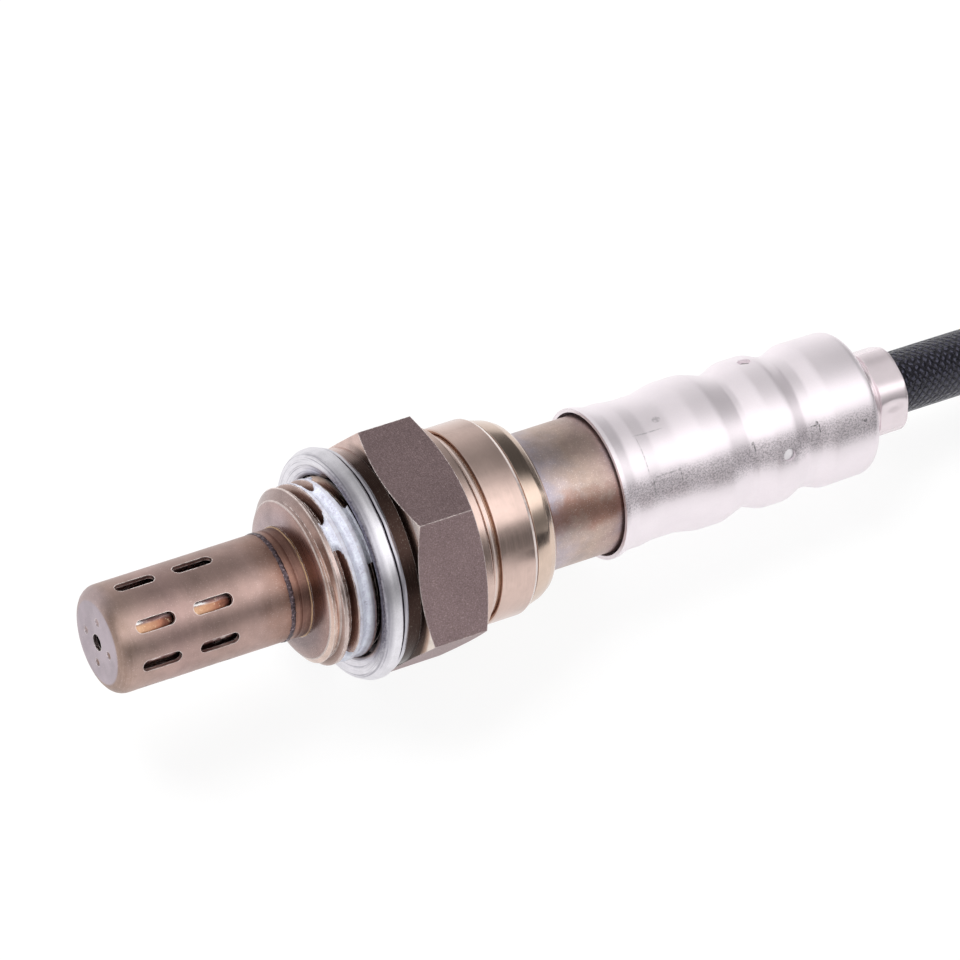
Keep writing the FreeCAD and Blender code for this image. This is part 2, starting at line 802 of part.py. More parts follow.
def sensor_pieces():
    """Every rigid piece of the sensor, along its own axis."""
    pieces = {
        "outer_protection_tube": outer_protection_tube(),
        "inner_protection_tube": inner_protection_tube(),
        "tube_collar": tube_collar(),
        "sensor_shell": sensor_shell(),
        "crush_gasket": crush_gasket(),
        "thimble_seal_ring": thimble_seal_ring(),
        "zirconia_thimble": zirconia_thimble(),
        "heater_rod": heater_rod(),
        "talc_packing": talc_packing(),
        "support_insulator": support_insulator(),
        "disc_spring": disc_spring(),
        "crimp_ring": crimp_ring(),
        "inner_sleeve": inner_sleeve(),
        "contact_carrier": contact_carrier(),
        "cable_grommet": cable_grommet(),
        "vent_membrane": vent_membrane(),
        "rear_cover": rear_cover(),
    }
    roles = ("heater_1", "signal", "heater_2", "ground")
    contacts = ring_of(contact_strip(), wire_count, wire_first)
    wires = ring_of(lead_wire(), wire_count, wire_first)
    for role, contact, wire in zip(roles, contacts, wires):
        pieces["contact_" + role] = contact
        pieces["lead_wire_" + role] = wire
    return pieces


def build():
    """All pieces in the frame of the part, resting on z = 0."""
    pieces = sensor_pieces()
    resting = resting_placement(pieces.values())
    laid = {name: shape.transformed(resting.toMatrix()) for name, shape in pieces.items()}
    points = lead_points(resting)
    datum = plug_datum(points)
    laid["braided_sleeve"] = braided_sleeve(points)
    laid["sleeve_coil"] = sleeve_coil(points)
    laid["coil_tie"] = coil_tie(points)
    laid["connector_boot"] = connector_boot(datum)
    laid["connector_housing"] = connector_housing(datum)
    laid["connector_seal"] = connector_seal(datum)
    laid["connector_lock"] = connector_lock(datum)
    laid["connector_terminals"] = connector_terminals(datum)
    for label, local in (("axis at the hexagon's front", ORIGIN), ("axis rearwards", AXIS)):
        world = resting.multVec(local)
        print("%s: %.6f %.6f %.6f" % (label, world.x, world.y, world.z))
    print("lead points:", ["%.3f %.3f %.3f" % tuple(p) for p in points])
    return laid


os.makedirs("parts", exist_ok=True)
for node, solid in build().items():
    solid.exportStep(os.path.join("parts", node + ".step"))
    print("%-24s %2d solids %9.1f mm3 valid %s" % (node, len(solid.Solids), solid.Volume, solid.isValid()))
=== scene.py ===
# %% [markdown]
# # Looks of an exhaust oxygen sensor
# The sensor lies on a white table, seen from above and in front of its probe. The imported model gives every
# size and place, and this lesson dresses it: piece by piece, from the probe's tip to the plug at the lead's
# end.

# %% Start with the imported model
import bmesh
import bpy
import json
import math
from mathutils import Matrix, Vector, noise


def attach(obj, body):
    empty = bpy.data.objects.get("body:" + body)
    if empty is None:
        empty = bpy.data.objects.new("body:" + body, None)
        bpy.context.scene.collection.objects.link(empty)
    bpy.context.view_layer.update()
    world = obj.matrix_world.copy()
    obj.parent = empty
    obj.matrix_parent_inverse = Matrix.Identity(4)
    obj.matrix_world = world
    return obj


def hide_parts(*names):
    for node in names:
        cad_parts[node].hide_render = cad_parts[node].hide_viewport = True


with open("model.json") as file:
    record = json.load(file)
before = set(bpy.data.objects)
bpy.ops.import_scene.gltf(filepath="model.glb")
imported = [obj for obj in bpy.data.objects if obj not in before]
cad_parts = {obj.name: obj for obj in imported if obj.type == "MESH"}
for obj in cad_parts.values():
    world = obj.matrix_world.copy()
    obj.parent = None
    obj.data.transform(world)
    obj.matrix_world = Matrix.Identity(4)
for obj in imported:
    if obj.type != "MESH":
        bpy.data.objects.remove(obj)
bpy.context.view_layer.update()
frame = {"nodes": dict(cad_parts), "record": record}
print("nodes:", len(frame["nodes"]))

# %% [markdown]
# ## The sensor's own axis
# Almost every piece is a turned part on one axis, and that axis lies a few degrees off the table. It is
# easier to model along plain X, with the hexagon's front face at 0 and lengths in millimetres, and to lay
# each finished piece down afterwards. The thread's place in the record tells where the axis runs.

# %% Where the axis lies
MM = 0.001
mounts = {mount["name"]: mount for mount in frame["record"]["mounts"]}
thread_middle = -5.725
rearward = -Vector(mounts["thread"]["axis"])
tilt = math.atan2(-rearward.z, rearward.x)
hexagon_front = Vector(mounts["thread"]["pos_m"]) - rearward * thread_middle * MM
laid = Matrix.Translation(hexagon_front) @ Matrix.Rotation(tilt, 4, "Y")
print("tilt: %.3f degrees" % math.degrees(tilt))

# %% [markdown]
# ## Camera
# A long lens looks down at the probe's end. Its place is worked out from the point on the axis that it was
# measured from, and from three directions: to the right, down and forward in the picture. The focal length
# is counted in the picture's pixels.

# %% Camera
to_right = Vector((0.87749, -0.47377, 0.07469))
to_down = Vector((-0.32880, -0.70767, -0.62541))
ahead = Vector((0.34916, 0.52423, -0.77675))
eye = hexagon_front - (to_right * -11.02 + to_down * 7.32 + ahead * 690.7) * MM
bpy.ops.object.camera_add(location=eye)
camera = bpy.context.object
camera.name = "camera"
camera.rotation_euler = Matrix((to_right, -to_down, -ahead)).transposed().to_euler()
film_width = 36
picture_width = 960
focal_length = 7150
camera.data.sensor_width = film_width
camera.data.lens = film_width * focal_length / picture_width
camera.data.clip_start = 0.05
bpy.context.scene.camera = camera
print("camera height: %.3f m" % eye.z)

# %% [markdown]
# ## Building with nodes
# The table, the room and every finish are made of shader nodes. These helpers add a node, feed it with
# numbers, colours or other nodes' sockets, and return the socket that comes out, so that a finish reads
# like a sum.

# %% Helpers for nodes
def new_material(name):
    """An empty node material with its tree and its output node."""
    material = bpy.data.materials.new(name)
    material.use_nodes = True
    tree = material.node_tree
    tree.nodes.clear()
    return material, tree, tree.nodes.new("ShaderNodeOutputMaterial")


def add_node(tree, kind, inputs=None, **settings):
    """A node with its settings, and its inputs fed with sockets, numbers or colours."""
    node = tree.nodes.new(kind)
    for key, value in settings.items():
        setattr(node, key, value)
    for key, value in (inputs or {}).items():
        socket = node.inputs[key]
        if isinstance(value, bpy.types.NodeSocket):
            tree.links.new(value, socket)
        elif socket.type == "RGBA" and len(value) == 3:
            socket.default_value = (*value, 1)
        else:
            socket.default_value = value
    return node


def math_node(tree, operation, *values):
    """A Math node fed with sockets or numbers."""
    return add_node(tree, "ShaderNodeMath", dict(enumerate(values)), operation=operation).outputs[0]


def chained(tree, operation, values):
    """Math nodes that take in one value after the other."""
    result = values[0]
    for value in values[1:]:
        result = math_node(tree, operation, result, value)
    return result


def plus(tree, *values):
    """The sum of all values."""
    return chained(tree, "ADD", values)


def minus(tree, first, second):
    """The first value less the second."""
    return math_node(tree, "SUBTRACT", first, second)


def times(tree, *values):
    """The product of all values."""
    return chained(tree, "MULTIPLY", values)


def most_of(tree, *values):
    """The largest of all values."""
    return chained(tree, "MAXIMUM", values)


def between(tree, value, first, last, low=0.0, high=1.0):
    """Maps a value from one range to another and stops at its ends."""
    inputs = {"Value": value, "From Min": first, "From Max": last, "To Min": low, "To Max": high}
    return add_node(tree, "ShaderNodeMapRange", inputs).outputs[0]


def band(tree, value, start, full, fade, end):
    """1 from full to fade, and 0 before start and after end."""
    return times(tree, between(tree, value, start, full), between(tree, value, end, fade))


def ramp_of(tree, value, stops):
    """A colour ramp; stops are (position, grey level) or (position, red, green, blue as on a screen)."""
    node = add_node(tree, "ShaderNodeValToRGB", {"Fac": value})
    while len(node.color_ramp.elements) < len(stops):
        node.color_ramp.elements.new(0.5)
    for element, (position, *shade) in zip(node.color_ramp.elements, stops):
        element.position = position
        element.color = (*(srgb(*shade) if len(shade) == 3 else shade * 3), 1)
    return node.outputs[0]


def blended(tree, share, first, second, mode="MIX"):
    """Two colours mixed."""
    inputs = {0: share, 6: first, 7: second}
    return add_node(tree, "ShaderNodeMix", inputs, data_type="RGBA", blend_type=mode).outputs[2]


def srgb(red, green, blue):
    """A colour written as it is seen on a screen, 0 to 255, as the linear colour that nodes take."""
    return tuple(((v / 255 + 0.055) / 1.055) ** 2.4 if v > 10 else v / 3294.6 for v in (red, green, blue))


def mixed_shader(tree, share, first, second):
    """Two shaders mixed."""
    return add_node(tree, "ShaderNodeMixShader", {0: share, 1: first, 2: second}).outputs[0]


def mirror_rays(tree):
    """1 for rays that come from a mirror or pass through glass, and a switch for camera rays."""
    path = add_node(tree, "ShaderNodeLightPath").outputs
    return most_of(tree, path["Is Glossy Ray"], path["Is Transmission Ray"]), path["Is Camera Ray"]

# %% [markdown]
# ## Table and light
# The picture's ground is pure white with a very faint shadow. The table is a plain pale plane. Part of its
# white is given to camera and mirror rays only, so it never adds light to the object. In mirrors the white
# fades with the distance from the sensor, as a lit sweep of paper does.

# %% Table
paper_white = 0.9
glow_share = 0.84
near, far = 0.03, 0.2
bpy.ops.mesh.primitive_plane_add(size=6)
table = bpy.context.object
table.name = "table"
material, tree, out = new_material("white_table")
paper = add_node(tree, "ShaderNodeBsdfDiffuse", {"Color": (paper_white, paper_white, paper_white)})
in_mirror, by_camera = mirror_rays(tree)
share = times(tree, most_of(tree, by_camera, in_mirror), glow_share)
place = add_node(tree, "ShaderNodeTexCoord").outputs["Object"]
distance = add_node(tree, "ShaderNodeVectorMath", {0: place}, operation="LENGTH").outputs["Value"]
strength = most_of(tree, times(tree, by_camera, 1.05), between(tree, distance, near, far, 1.0, 0.7))
glow = add_node(tree, "ShaderNodeEmission", {"Strength": strength})
surface = mixed_shader(tree, share, paper.outputs[0], glow.outputs[0])
tree.links.new(surface, out.inputs["Surface"])
table.data.materials.append(material)
print("table: glow %.2f of its white" % glow_share)

# %% [markdown]
# The room is a light tent. Rays that light things get one even grey. Rays that mirror it see what a tent
# has: a long softbox overhead on the viewer's side, a dim gap above the table there, and a bright wall
# behind. These strips run along the sensor, so each polished ring shows the same bands. Past the lead's end
# the tent is open and dark, which shows on slopes that face that way. Each strip below is an angle from
# straight up towards the viewer, in degrees, with its brightness.

# %% Room
tent_strips = ((-180, 1.4), (-104, 1.3), (-82, 0.8), (-50, 0.5), (-34, 0.42), (-18, 0.5), (-2, 0.8),
               (12, 1.2), (24, 1.55), (44, 1.55), (58, 0.36), (70, 0.2), (82, 0.24), (92, 0.75), (180, 1.0))
even_grey = 0.42
opening_dark = 0.8
bpy.context.scene.view_settings.view_transform = "Standard"
world = bpy.data.worlds.new("studio")
bpy.context.scene.world = world
world.use_nodes = True
tree = world.node_tree
tree.nodes.clear()
out = tree.nodes.new("ShaderNodeOutputWorld")
room = add_node(tree, "ShaderNodeBackground", {"Strength": even_grey})
white = add_node(tree, "ShaderNodeBackground")
generated = add_node(tree, "ShaderNodeTexCoord").outputs["Generated"]
direction = add_node(tree, "ShaderNodeSeparateXYZ", {0: generated}).outputs
around = math_node(tree, "ARCTAN2", times(tree, direction["Y"], -1.0), direction["Z"])
share = plus(tree, math_node(tree, "DIVIDE", around, 2 * math.pi), 0.5)
strips = ramp_of(tree, share, [(angle / 360 + 0.5, level) for angle, level in tent_strips])
strips.node.color_ramp.interpolation = "EASE"
behind = times(tree, between(tree, direction["X"], 0.42, 0.68), between(tree, around, 0.15, -0.2))
strength = minus(tree, 1.0, times(tree, behind, opening_dark))
tent = add_node(tree, "ShaderNodeBackground", {"Color": strips, "Strength": strength})
in_mirror, by_camera = mirror_rays(tree)
lit = mixed_shader(tree, in_mirror, room.outputs[0], tent.outputs[0])
tree.links.new(mixed_shader(tree, by_camera, lit, white.outputs[0]), out.inputs["Surface"])
print("tent strips:", len(tent_strips))

# %% [markdown]
# Two square lamps give the faint shadow: a key light from behind on the left, and a softer fill from the
# front. Mirrors don't see them, since the tent already has its softbox.

# %% Lamps
def softbox(name, place, target, size, power):
    """A square area lamp that looks at a target."""
    bpy.ops.object.light_add(type="AREA", location=place)
    lamp = bpy.context.object
    lamp.name = name
    lamp.data.size = size
    lamp.data.energy = power
    lamp.visible_glossy = False
    lamp.rotation_euler = (Vector(target) - Vector(place)).to_track_quat("-Z", "Y").to_euler()
    return lamp


lamps = [softbox("key", (-0.15, 0.35, 0.6), (0, 0, 0), 0.45, 5.0),
         softbox("fill", (0.2, -0.7, 0.45), (0, 0, 0), 0.5, 2.5)]
print("lamps:", ", ".join("%s %.1f W" % (lamp.name, lamp.data.energy) for lamp in lamps))

# %% [markdown]
# ## Making finishes
# Patterns follow the sensor's own axis: a Mapping node turns the object's coordinates into millimetres
# along and across the axis, and a different scale along and across stretches the noise into the rings that
# a lathe leaves. Marks that sit at one place are found by station, distance from the axis and angle.

# %% Helpers for finishes
def along_axis(tree, scale=(1, 1, 1)):
    """The place on the sensor, in millimetres from the hexagon's front, times a scale."""
    place = add_node(tree, "ShaderNodeTexCoord").outputs["Object"]
    inputs = {"Vector": place, "Location": hexagon_front, "Rotation": (0, tilt, 0), "Scale": (MM, MM, MM)}
    local = add_node(tree, "ShaderNodeMapping", inputs, vector_type="TEXTURE").outputs[0]
    if scale == (1, 1, 1):
        return local
    return add_node(tree, "ShaderNodeVectorMath", {0: local, 1: scale}, operation="MULTIPLY").outputs[0]


def cloud(tree, where, size=1.0, detail=3.0, rough=0.5):
    """Soft noise, one lump about as large as size."""
    inputs = {"Vector": where, "Scale": 1 / size, "Detail": detail, "Roughness": rough}
    return add_node(tree, "ShaderNodeTexNoise", inputs).outputs["Fac"]


def raised(tree, height, depth, strength=1.0, normal=None):
    """A bump from a height between 0 and 1; depth in millimetres."""
    inputs = {"Height": height, "Distance": depth * MM, "Strength": strength}
    if normal is not None:
        inputs["Normal"] = normal
    return add_node(tree, "ShaderNodeBump", inputs).outputs[0]


def finish_with(tree, out, colour, roughness, normal=None, metallic=1.0, **more):
    """The surface shader, joined to the output."""
    inputs = {"Base Color": colour, "Roughness": roughness, "Metallic": metallic, **more}
    if normal is not None:
        inputs["Normal"] = normal
    shader = add_node(tree, "ShaderNodeBsdfPrincipled", inputs)
    tree.links.new(shader.outputs[0], out.inputs["Surface"])


def station_of(tree):
    """Millimetres along the axis."""
    return add_node(tree, "ShaderNodeSeparateXYZ", {0: along_axis(tree)}).outputs["X"]


def spot(tree, station, angle, length, width, soft=0.4):
    """1 inside a small oval on the surface, at a station and at an angle from the top towards -Y."""
    inputs = {"Vector": along_axis(tree), "Angle": -math.radians(angle)}
    turned = add_node(tree, "ShaderNodeVectorRotate", inputs, rotation_type="X_AXIS").outputs[0]
    split = add_node(tree, "ShaderNodeSeparateXYZ", {0: turned}).outputs
    across = math_node(tree, "DIVIDE", split["Y"], width / 2)
    lengthwise = math_node(tree, "DIVIDE", minus(tree, split["X"], station), length / 2)
    squares = plus(tree, *[math_node(tree, "POWER", value, 2.0) for value in (across, lengthwise)])
    inside = between(tree, squares, 1 + soft, 1 - soft)
    return times(tree, inside, math_node(tree, "GREATER_THAN", split["Z"], 0.0))


def polar(tree):
    """Distance from the axis in millimetres, and the angle from the top towards -Y in degrees."""
    split = add_node(tree, "ShaderNodeSeparateXYZ", {0: along_axis(tree)}).outputs
    squares = [math_node(tree, "POWER", split[name], 2.0) for name in "YZ"]
    radius = math_node(tree, "SQRT", plus(tree, *squares))
    back = times(tree, split["Y"], -1.0)
    turned = times(tree, math_node(tree, "ARCTAN2", back, split["Z"]), 180 / math.pi)
    return radius, turned


def worn_and_highlit_edges(tree, width=0.18):
    """Up to 1 close to an edge, in patches: partly wear and partly a painted highlight along the edge. The
    Bevel node finds the edges.
    """
    rounded = add_node(tree, "ShaderNodeBevel", {"Radius": width * MM}, samples=6).outputs[0]
    plain = add_node(tree, "ShaderNodeNewGeometry").outputs["Normal"]
    normals = {0: rounded, 1: plain}
    agree = add_node(tree, "ShaderNodeVectorMath", normals, operation="DOT_PRODUCT").outputs["Value"]
    patches = ramp_of(tree, cloud(tree, along_axis(tree), 0.5, 3, 0.6), [(0.36, 0.3), (0.52, 1.0)])
    return times(tree, between(tree, agree, 0.97, 0.88), patches)

# %% [markdown]
# ## Steel, new and heat-tinted
# All the metal is one kind of steel in different states. Each finish has its own colour, a fine turned
# grain that stretches round the axis, clouds of stain, tiny bright specks, and edges and rings painted
# bright, partly as wear and partly as a painted highlight; the mirror bands come from the tent.

# %% Steel
wear_and_highlight_white = srgb(240, 228, 224)


def steel(name, colour, roughness, grain=0.004, stain=0.25, stain_size=3.0, specks=0.0, tint=None,
          spread=0.08, wear_and_highlight=0.0, streaks=0.0, grit=0.12, marks=None, metallic=1.0, salt=0.0, lines=()):
    """Turned steel. Its roughness varies by spread from ring to ring; grain is the height of its bumps in mm.
    stain darkens it in clouds of stain_size, streaks in fine rings and salt in grains; specks are bright
    grains, and grit is the size of a grain. tint makes the colour from the tree, and marks a mask of dark
    marks. wear_and_highlight paints the edges bright, partly as wear and partly as a painted highlight, and
    the rings in lines (station, half width, share) are painted highlights. Both scatter light instead of
    mirroring it, so they are always bright. A low metallic value does the same to a whole sheet."""
    material, tree, out = new_material(name)
    rings = cloud(tree, along_axis(tree, (14, 0.3, 0.3)), 1.0, 4, 0.6)
    broad = cloud(tree, along_axis(tree), stain_size, 4, 0.6)
    fine = cloud(tree, along_axis(tree), grit, 2, 0.6)
    shade = tint(tree) if tint else colour
    shade = blended(tree, stain, shade, ramp_of(tree, broad, [(0.35, 0.4), (0.62, 1.0)]), "MULTIPLY")
    if streaks:
        shade = blended(tree, streaks, shade, ramp_of(tree, rings, [(0.35, 0.45), (0.6, 1.0)]), "MULTIPLY")
    if salt:
        shade = blended(tree, salt, shade, ramp_of(tree, fine, [(0.36, 0.2), (0.6, 1.0)]), "MULTIPLY")
    bright = tuple(min(1.0, 2.2 * v + 0.05) for v in colour)
    if specks:
        shade = blended(tree, ramp_of(tree, fine, [(0.62, 0.0), (0.70, specks)]), shade, bright)
    # Edges and the rings in lines are painted bright and less metallic: partly wear, partly painted highlight.
    if wear_and_highlight:
        edges = times(tree, worn_and_highlit_edges(tree), wear_and_highlight)
        for station, half, share in lines:
            ring = math_node(tree, "ABSOLUTE", minus(tree, station_of(tree), station))
            ring = times(tree, between(tree, ring, half, half / 2, 0.0, share),
                         between(tree, broad, 0.3, 0.5, 0.5, 1.0))
            edges = most_of(tree, edges, ring)
        shade = blended(tree, edges, shade, wear_and_highlight_white)
        metallic = minus(tree, metallic, edges)
    if marks:
        shade = blended(tree, marks(tree), shade, tuple(0.12 * v for v in colour))
    rough = between(tree, rings, 0.3, 0.7, roughness - spread, roughness + spread)
    normal = raised(tree, rings, grain, 0.6, raised(tree, fine, grain, 0.6))
    finish_with(tree, out, shade, rough, normal, metallic)
    return material


def wear(piece, material):
    """Gives a piece one material all over."""
    piece.data.materials.clear()
    piece.data.materials.append(material)

# %% [markdown]
# The probe has seen the fire. Steel turns brown, mauve and lilac in bands as it gets hotter, and the bands
# run round it because the heat came along the tube. A ramp along the station gives the bands, noise makes
# them uneven, and the end face gets its own colour. The tube inside is coppery where the gas struck it.

# %% Tints of the probe
def probe_tint(tree):
    """A lilac end face, a browner ringed rim, mauve along the tube, a scorched end at the weld, and a painted
    highlight on the upper side near the tip.
    """
    station = station_of(tree)
    broad = times(tree, cloud(tree, along_axis(tree), 3.5, 4, 0.6), 0.16)
    rings = minus(tree, cloud(tree, along_axis(tree, (5, 0.25, 0.25)), 1.0, 3, 0.7), 0.5)
    rings = times(tree, rings, between(tree, station, -28.9, -26.5, 0.12, 0.0))
    place = plus(tree, between(tree, station, -29.3, -8.5), broad, rings)
    tube = ramp_of(tree, place, [
        (0.04, 150, 126, 118), (0.1, 176, 150, 138), (0.16, 198, 170, 160), (0.38, 194, 164, 158),
        (0.58, 186, 158, 150), (0.8, 196, 166, 158), (0.9, 180, 146, 134), (0.96, 150, 112, 98),
        (1.0, 132, 100, 92)])
    # Painted highlight: the upper side near the tip is made lighter.
    top_highlight = times(tree, between(tree, polar(tree)[1], 15, -20), between(tree, station, -27.6, -28.6, 0.0, 0.7))
    tube = blended(tree, top_highlight, tube, srgb(208, 188, 190))
    face = times(tree, between(tree, station, -29.0, -29.12), between(tree, polar(tree)[0], 4.3, 4.1))
    return blended(tree, face, tube, srgb(194, 180, 188))


def inner_tint(tree):
    """Copper where the hot gas struck the tube, scorched to its rear; grey elsewhere, with silver streaks
    along the tube that are a painted reflection of the slots' edges.
    """
    angle = polar(tree)[1]
    # Painted reflection: bright silver streaks along the tube, on grey.
    grey_with_glints = ramp_of(tree, cloud(tree, along_axis(tree, (0.6, 3, 3)), 1.0, 3, 0.6), [
        (0.42, 130, 100, 98), (0.55, 170, 150, 150), (0.62, 255, 255, 255)])
    row_start, row_step = -27.05, 6.15
    along = math_node(tree, "DIVIDE", plus(tree, station_of(tree), -row_start), row_step)
    waver = times(tree, cloud(tree, along_axis(tree), 0.8, 3, 0.6), 0.3)
    scorch = ramp_of(tree, plus(tree, math_node(tree, "FRACT", along), waver), [
        (0.1, 212, 176, 144), (0.4, 200, 154, 124), (0.6, 170, 116, 94), (0.74, 96, 60, 52)])
    return blended(tree, band(tree, angle, 29, 32, 54, 60), grey_with_glints, scorch)


def collar_tint(tree):
    """Reddish brown rings behind the weld, and a thin golden painted highlight on the edge where the flange
    begins.
    """
    waver = times(tree, cloud(tree, along_axis(tree, (3, 0.4, 0.4)), 1.0, 3, 0.6), 0.2)
    place = plus(tree, between(tree, station_of(tree), -10.8, -8.6), waver)
    return ramp_of(tree, place, [
        (0.1, 150, 112, 100), (0.35, 170, 130, 116), (0.6, 136, 102, 92), (0.94, 150, 116, 104),
        # The golden stop at 0.99 is a painted highlight on the flange's edge.
        (0.99, 214, 176, 128), (1.0, 140, 112, 104)])

# %% [markdown]
# The nose, the gasket and the hexagon's faces are colder and keep their grey, but the spanner, the thread
# and dirt have worked on them. Crests are rubbed bright and the roots are darker, partly as painted shade, and
# the gasket is ringed with scratches from the last time it was screwed down. Painted shade darkens the
# gaps beside the gasket and the chamfer next to it, and painted highlights light the chamfer's corners.

# %% Tints of nose, gasket and chamfer
def nose_tint(tree):
    """Mauve and brown on the front face, brown on the bevel with painted shading, bright on the crests and
    dark in the roots (partly wear, partly painted shade), lighter just before the gasket as painted light, and
    black painted shade under the gasket.
    """
    radius, angle = polar(tree)
    station = station_of(tree)
    face = ramp_of(tree, between(tree, angle, -60, 120), [
        (0.2, 180, 158, 160), (0.3, 150, 122, 116), (0.55, 172, 142, 130), (0.72, 140, 114, 108),
        (0.9, 134, 114, 114)])
    face = blended(tree, between(tree, radius, 6.4, 7.6, 0.0, 0.5), face, srgb(196, 164, 156))
    # Darker in the roots and bright on the crests: partly wear, partly painted shade in the roots.
    thread = ramp_of(tree, between(tree, radius, 8.1, 9.0), [
        (0.1, 120, 94, 86), (0.5, 150, 122, 112), (0.85, 180, 154, 146), (1.0, 204, 182, 176)])
    # Painted light: the roots just before the gasket are made lighter, against the gasket's shadow.
    thread = blended(tree, between(tree, station, -4.0, -3.8, 0.0, 0.7), thread, srgb(214, 186, 170))
    bevel = band(tree, station, -8.3, -8.2, -7.5, -7.45)
    # Painted shading on the bevel: darker partway round, lighter towards the viewer's side.
    shade = blended(tree, bevel, thread, ramp_of(tree, between(tree, angle, -60, 120), [
        (0.2, 180, 158, 154), (0.38, 196, 164, 154), (0.45, 150, 120, 110), (0.53, 160, 130, 118),
        (0.64, 224, 190, 176), (0.8, 230, 204, 192)]))
    # Painted shade: nearly black where the nose runs under the gasket.
    shade = blended(tree, between(tree, station, -3.35, -3.1), shade, srgb(38, 30, 30))
    return blended(tree, between(tree, station, -8.24, -8.32), shade, face)


def gasket_tint(tree):
    """Bright sheet metal, ringed with scratches. On the slope towards the thread it is darker in patches, most
    of all on the viewer's side, partly grime and partly painted shade; painted shade also dulls the roll on
    that side and darkens the inner edge by the thread, and fills the gap beside the thread with black."""
    radius, angle = polar(tree)
    ringed = {"X": times(tree, radius, 6.0), "Y": times(tree, angle, 0.02)}
    scratch = cloud(tree, add_node(tree, "ShaderNodeCombineXYZ", ringed).outputs[0], 1.0, 3, 0.6)
    scratch = times(tree, between(tree, scratch, 0.5, 0.36), between(tree, radius, 11.5, 11.3, 0.0, 0.5))
    side = band(tree, angle, -25, -5, 85, 110)
    # Darker in patches on the slope towards the thread, on the viewer's side: partly grime, partly painted
    # shade.
    waver = minus(tree, cloud(tree, along_axis(tree), 0.5, 4, 0.7), 0.5)
    grime_and_shade = between(tree, plus(tree, radius, times(tree, waver, 0.6)), 11.3, 11.0)
    patches = ramp_of(tree, cloud(tree, along_axis(tree), 0.2, 4, 0.7), [(0.35, 0.3), (0.55, 1.0)])
    grime_and_shade = times(tree, grime_and_shade, side, patches)
    # Painted shade: the sheet is darker at its inner edge by the thread.
    shaded_sheet = ramp_of(tree, between(tree, radius, 9.2, 9.6), [(0.1, 110, 98, 104), (0.9, 246, 243, 249)])
    # Painted shade: the roll is dulled on the viewer's side.
    roll_shade = times(tree, between(tree, radius, 11.6, 11.42, 0.0, 0.55), side)
    shaded_sheet = blended(tree, roll_shade, shaded_sheet, srgb(150, 146, 158))
    shade = blended(tree, grime_and_shade, shaded_sheet, srgb(116, 112, 126))
    shade = blended(tree, scratch, shade, srgb(110, 106, 124))
    # Painted shade: black in the gap beside the thread.
    gap_shade = times(tree, band(tree, angle, -32, -22, 48, 62), between(tree, station_of(tree), -3.72, -3.6),
                between(tree, radius, 10.5, 10.35))
    return blended(tree, gap_shade, shade, srgb(34, 28, 32))


def chamfer_shade_and_highlight(tree):
    """Dark next to the gasket, as painted shade and a painted reflection of the dark gap, and golden at the
    hexagon's corners and upper side, as a painted highlight.
    """
    radius, angle = polar(tree)
    # Painted shade next to the gasket, and a painted highlight towards the corners.
    shade = ramp_of(tree, between(tree, radius, 10.6, 12.7), [
        (0.1, 64, 48, 44), (0.42, 80, 62, 54), (0.6, 196, 166, 150), (0.7, 250, 236, 226)])
    # Painted highlight: lighter on the upper side.
    highlit_side = plus(tree, angle, between(tree, radius, 11.4, 12.4, 0.0, -18.0))
    return blended(tree, between(tree, highlit_side, -18, -38), shade, srgb(226, 198, 190))

# %% [markdown]
# Behind the hexagon the metal is polished or drawn. The collar is champagne, with painted shade browning its
# groove, and the sleeve went through the hottest air, which left it tan with lilac ends; a reddish painted
# reflection runs along its viewer's side. The cover is nearly white, its grain painted darker where the
# room's reflection is dim. Its dents and press lines are small ovals, each at its station and angle.

# %% Tints of collar, sleeve and cover
def shell_tint(tree):
    """Champagne on the polished collar, and brown painted shade in the groove before it."""
    place = between(tree, station_of(tree), 8.0, 10.0)
    bright, groove_shade = (220, 194, 184), (200, 172, 154)
    # The brown stops are painted shade in the groove.
    return ramp_of(tree, place, [(0.1, *bright), (0.16, 196, 168, 152), (0.42, *bright), (0.64, *bright),
                                 (0.68, *groove_shade), (0.74, *groove_shade), (0.78, *bright)])


def sleeve_tint(tree):
    """Tan, with lilac at both ends, in uneven patches, and a reddish painted reflection along the viewer's
    side.
    """
    waver = minus(tree, cloud(tree, along_axis(tree), 3.0, 4, 0.65), 0.5)
    place = plus(tree, between(tree, station_of(tree), 15.0, 27.5), times(tree, waver, 0.7))
    shade = ramp_of(tree, place, [
        (0.1, 200, 190, 202), (0.28, 206, 188, 186), (0.5, 208, 184, 172), (0.75, 194, 168, 162),
        (1.0, 172, 162, 174)])
    # Painted reflection: a reddish band along the viewer's side, wavering in patches.
    angle = plus(tree, polar(tree)[1], times(tree, waver, 60.0))
    reflection_band = times(tree, band(tree, angle, 34, 48, 60, 74), 0.7)
    return blended(tree, reflection_band, shade, srgb(188, 138, 122))


def cover_tint(tree):
    """Nearly white sheet with a coarse grain from the drawing, painted darker in the band where the room's
    reflection is dim: a painted dark reflection.
    """
    angle = polar(tree)[1]
    fine = cloud(tree, along_axis(tree, (0.8, 1, 1)), 0.15, 2, 0.7)
    # Painted dark reflection: darker grain only in the band where the room is dim.
    share = plus(tree, band(tree, angle, 41, 50, 60, 72), 0.05)
    grain = ramp_of(tree, fine, [(0.36, 192, 182, 188), (0.6, 252, 243, 248)])
    return blended(tree, share, srgb(255, 246, 251), grain)


